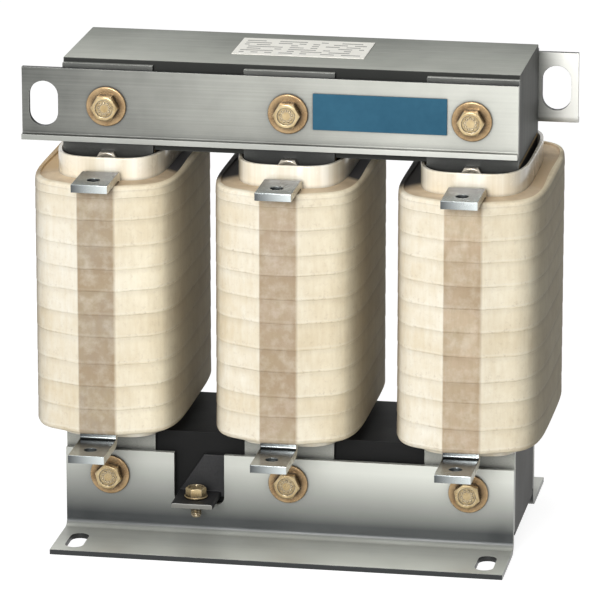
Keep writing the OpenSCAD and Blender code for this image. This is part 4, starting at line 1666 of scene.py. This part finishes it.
@dataclass
class Studio:
    """A pale floor, a white surround and soft lamps."""

    floor_size: float = 12.0
    floor_tone: float = 0.35
    floor_glow: float = 0.9
    ambient_near: float = 0.34
    ambient_far: float = 0.02
    ambient_way: tuple[float, float, float] = (-0.6, -0.8, 0.0)
    ambient_turn: Span = (-0.6, 1.0)
    aim: tuple[float, float, float] = (0.0, 0.0, 0.12)
    lamps: tuple[SoftBox, ...] = (
        SoftBox("key_lamp", (-0.12, -2.17, 0.85), 0.9, 47.5),
        SoftBox("top_lamp", (-0.3, 0.2, 1.9), 1.0, 11.0),
    )

    def build(self) -> None:
        """Light the object plainly on a floor that reads as white."""
        bpy.context.scene.view_settings.view_transform = "Standard"
        self.build_floor()
        self.build_world()
        for lamp in self.lamps:
            data = bpy.data.lights.new(lamp.name, "AREA")
            data.size = lamp.size
            data.energy = lamp.power
            place = Vector(lamp.place)
            stand(data, place, place - Vector(self.aim))

    @staticmethod
    def seen(wiring: Wiring) -> Socket:
        """Give 1 for rays of the camera, of gloss and through glass, and 0 for light."""
        path = wiring.add("ShaderNodeLightPath")
        either = wiring.math("MAXIMUM", path.outputs["Is Camera Ray"], path.outputs["Is Glossy Ray"])
        return wiring.math("MAXIMUM", either, path.outputs["Is Transmission Ray"])

    def build_floor(self) -> None:
        """Lay the pale floor, which keeps the object's shadow."""
        floor = Bench.add("studio_floor", bpy.ops.mesh.primitive_plane_add, size=self.floor_size,
                          location=(0.0, 0.0, 0.0))
        material = bpy.data.materials.new("pale_floor")
        wiring = Wiring.fresh(material)
        matt = wiring.add("ShaderNodeBsdfDiffuse", {"Color": (*[self.floor_tone] * 3, 1.0)})
        strength = wiring.times(self.seen(wiring), self.floor_glow)
        glow = wiring.add("ShaderNodeEmission", {"Strength": strength})
        both = wiring.add("ShaderNodeAddShader", {0: matt.outputs[0], 1: glow.outputs[0]})
        wiring.add("ShaderNodeOutputMaterial", {"Surface": both.outputs[0]})
        floor.data.materials.append(material)

    def build_world(self) -> None:
        """Surround the object with white where it is seen, and with soft light from the front left."""
        world = bpy.data.worlds.new("studio_world")
        wiring = Wiring.fresh(world)
        way = wiring.add("ShaderNodeTexCoord").outputs["Generated"]
        towards = wiring.add("ShaderNodeVectorMath", {0: way, 1: self.ambient_way}, operation="DOT_PRODUCT")
        soft = wiring.ramp(towards.outputs["Value"], *self.ambient_turn, self.ambient_far,
                           self.ambient_near)
        strength = wiring.math("MAXIMUM", soft, self.seen(wiring))
        sky = wiring.add("ShaderNodeBackground", {"Color": (1.0, 1.0, 1.0, 1.0), "Strength": strength})
        wiring.add("ShaderNodeOutputWorld", {"Surface": sky.outputs[0]})
        bpy.context.scene.world = world


def bar_finish(node: str) -> BarFinish:
    """Give a terminal bar's finish, with its edges from the frame, darker towards the coil as painted
    shade.
    """
    low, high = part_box(node)
    drift = Drift("Y", start=low.y + 26.0 * MM, end=low.y + 2.0 * MM, gain=0.9)
    return replace(TERMINAL_BAR, name=f"{node}_tin", left_edge=low.x, right_edge=high.x, drift=drift)


def frame_pieces() -> list[FoldedPiece]:
    """List the pieces of the core, the sheet frame and the terminals whose solids are right."""
    # The lower E-core wears the darker copy of the core's finish, painted shade
    pieces = [FoldedPiece("e_core_stack", "core_steel", CORE_SHADE, edge=0.4 * MM),
              FoldedPiece("top_yoke_stack", "core_steel", CORE_STEEL, edge=0.4 * MM)]
    for side, outwards, rail in (("front", TO_VIEWER, ZINC_SHEET), ("rear", TO_BACK, REAR_SHEET)):
        pieces.append(FoldedPiece(f"{side}_top_rail", "sheet_steel", rail, edge=0.35 * MM,
                                  cuts=((outwards, CUT_EDGE), (UPWARDS, DARK_CUT)),
                                  holes=Holes(TO_BACK, DARK_CUT)))
        pieces.append(FoldedPiece(f"{side}_foot_angle", "sheet_steel", FOOT_SHEET, edge=0.8 * MM,
                                  segments=3, holes=Holes(UPWARDS, DARK_CUT, layer=3.2 * MM)))
        pieces += [FoldedPiece(f"{side}_strap_{k}", "sheet_steel", STRAP_SHEET, edge=0.35 * MM,
                               cuts=((UPWARDS, CUT_EDGE),)) for k in COLUMNS]
    for k in COLUMNS:
        pieces.append(FoldedPiece(f"coil_former_{k}", "former_laminate", FORMER_LAMINATE, edge=0.55 * MM,
                                  segments=3))
        pieces += [FoldedPiece(node, "terminal_bar", bar_finish(node), edge=0.4 * MM, segments=3,
                               cuts=((TO_RIGHT, BAR_SIDE),))
                   for node in (f"top_terminal_{k}", f"bottom_terminal_{k}")]
    pieces.append(FoldedPiece("earth_tab", "earth_steel", EARTH_STEEL, edge=0.5 * MM,
                              cuts=((TO_VIEWER, TAB_EDGE),)))
    pieces.append(FoldedPiece("front_plate", "plate_blue", PLATE_BLUE, edge=0.2 * MM))
    return pieces


def tape_finish(column: int) -> TapeFinish:
    """Give a coil's tape finish, with the bar's width from the frame and, by column, the tones of the
    painted shade over the bar, on the ledges and on the sides.
    """
    bar_low, bar_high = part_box(f"bottom_terminal_{column}")
    # Painted shade over the bar, darker on the first coil
    over_bar_shade, over_bar_shade_green = {
        1: (tint(160, 146, 130), tint(174, 160, 134)),
        2: (tint(184, 163, 143), tint(184, 168, 140)),
        3: (tint(210, 188, 162), tint(194, 178, 148)),
    }[column]
    return TapeFinish(
        f"coil_tape_{column}", light=tint(249, 245, 232), warm=tint(255, 244, 214),
        dark=tint(222, 206, 174), over_bar_shade=over_bar_shade, over_bar_shade_green=over_bar_shade_green,
        edge_line=tint(112, 96, 76), stain_and_shade=tint(156, 132, 102), ledge=tint(230, 210, 180),
        # Painted shadow on the ledges: near black in shade, tan where the ledge lies in light
        left_ledge_shade=tint(196, 170, 132) if column == 1 else tint(62, 60, 58),
        right_ledge_shade=tint(206, 182, 148) if column == 3 else tint(70, 68, 70),
        # Painted shade on the sides, less on the third coil
        side_shade_tone=tint(88, 84, 78), side_shade_share=0.24 if column == 3 else 0.34,
        turn_height=TapedCoil.turn_height, band_half=(bar_high.x - bar_low.x) / 2)


def label_finish() -> LabelFinish:
    """Give the label's finish, with its corners from the frame."""
    low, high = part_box("top_label")
    return LabelFinish("label_paper", paper=tint(255, 253, 243), ink=tint(84, 84, 80), row_pitch=4.6 * MM,
                       margin=3.0 * MM, low=(low.x, low.y), high=(high.x, high.y),
                       shade=tint(226, 226, 220))


def main() -> None:
    """Build the studio, the camera and every piece of the reactor."""
    logging.basicConfig(level=logging.INFO, format="%(name)s %(message)s")
    Studio().build()
    PhotoCamera().build()
    for piece in frame_pieces():
        piece.build()
    for k in COLUMNS:
        TapedCoil(k, random.Random(TAPE_SEED + k)).build(tape_finish(k))
        paint_node(f"winding_{k}", WINDING_COPPER)
        paint_node(f"coil_wedges_{k}", WEDGE_WOOD)
        paint_node(f"air_gap_spacer_{k}", SPACER_BOARD)
    paint_node("top_label", label_finish())
    ClampRow(RowName.TOP, (0.0, 0.0, 0.0)).build()
    ClampRow(RowName.BOTTOM, (14.0, 6.0, 20.0)).build()
    LimbBolts().build()
    EarthBolt().build()


if __name__ == "__main__":
    main()
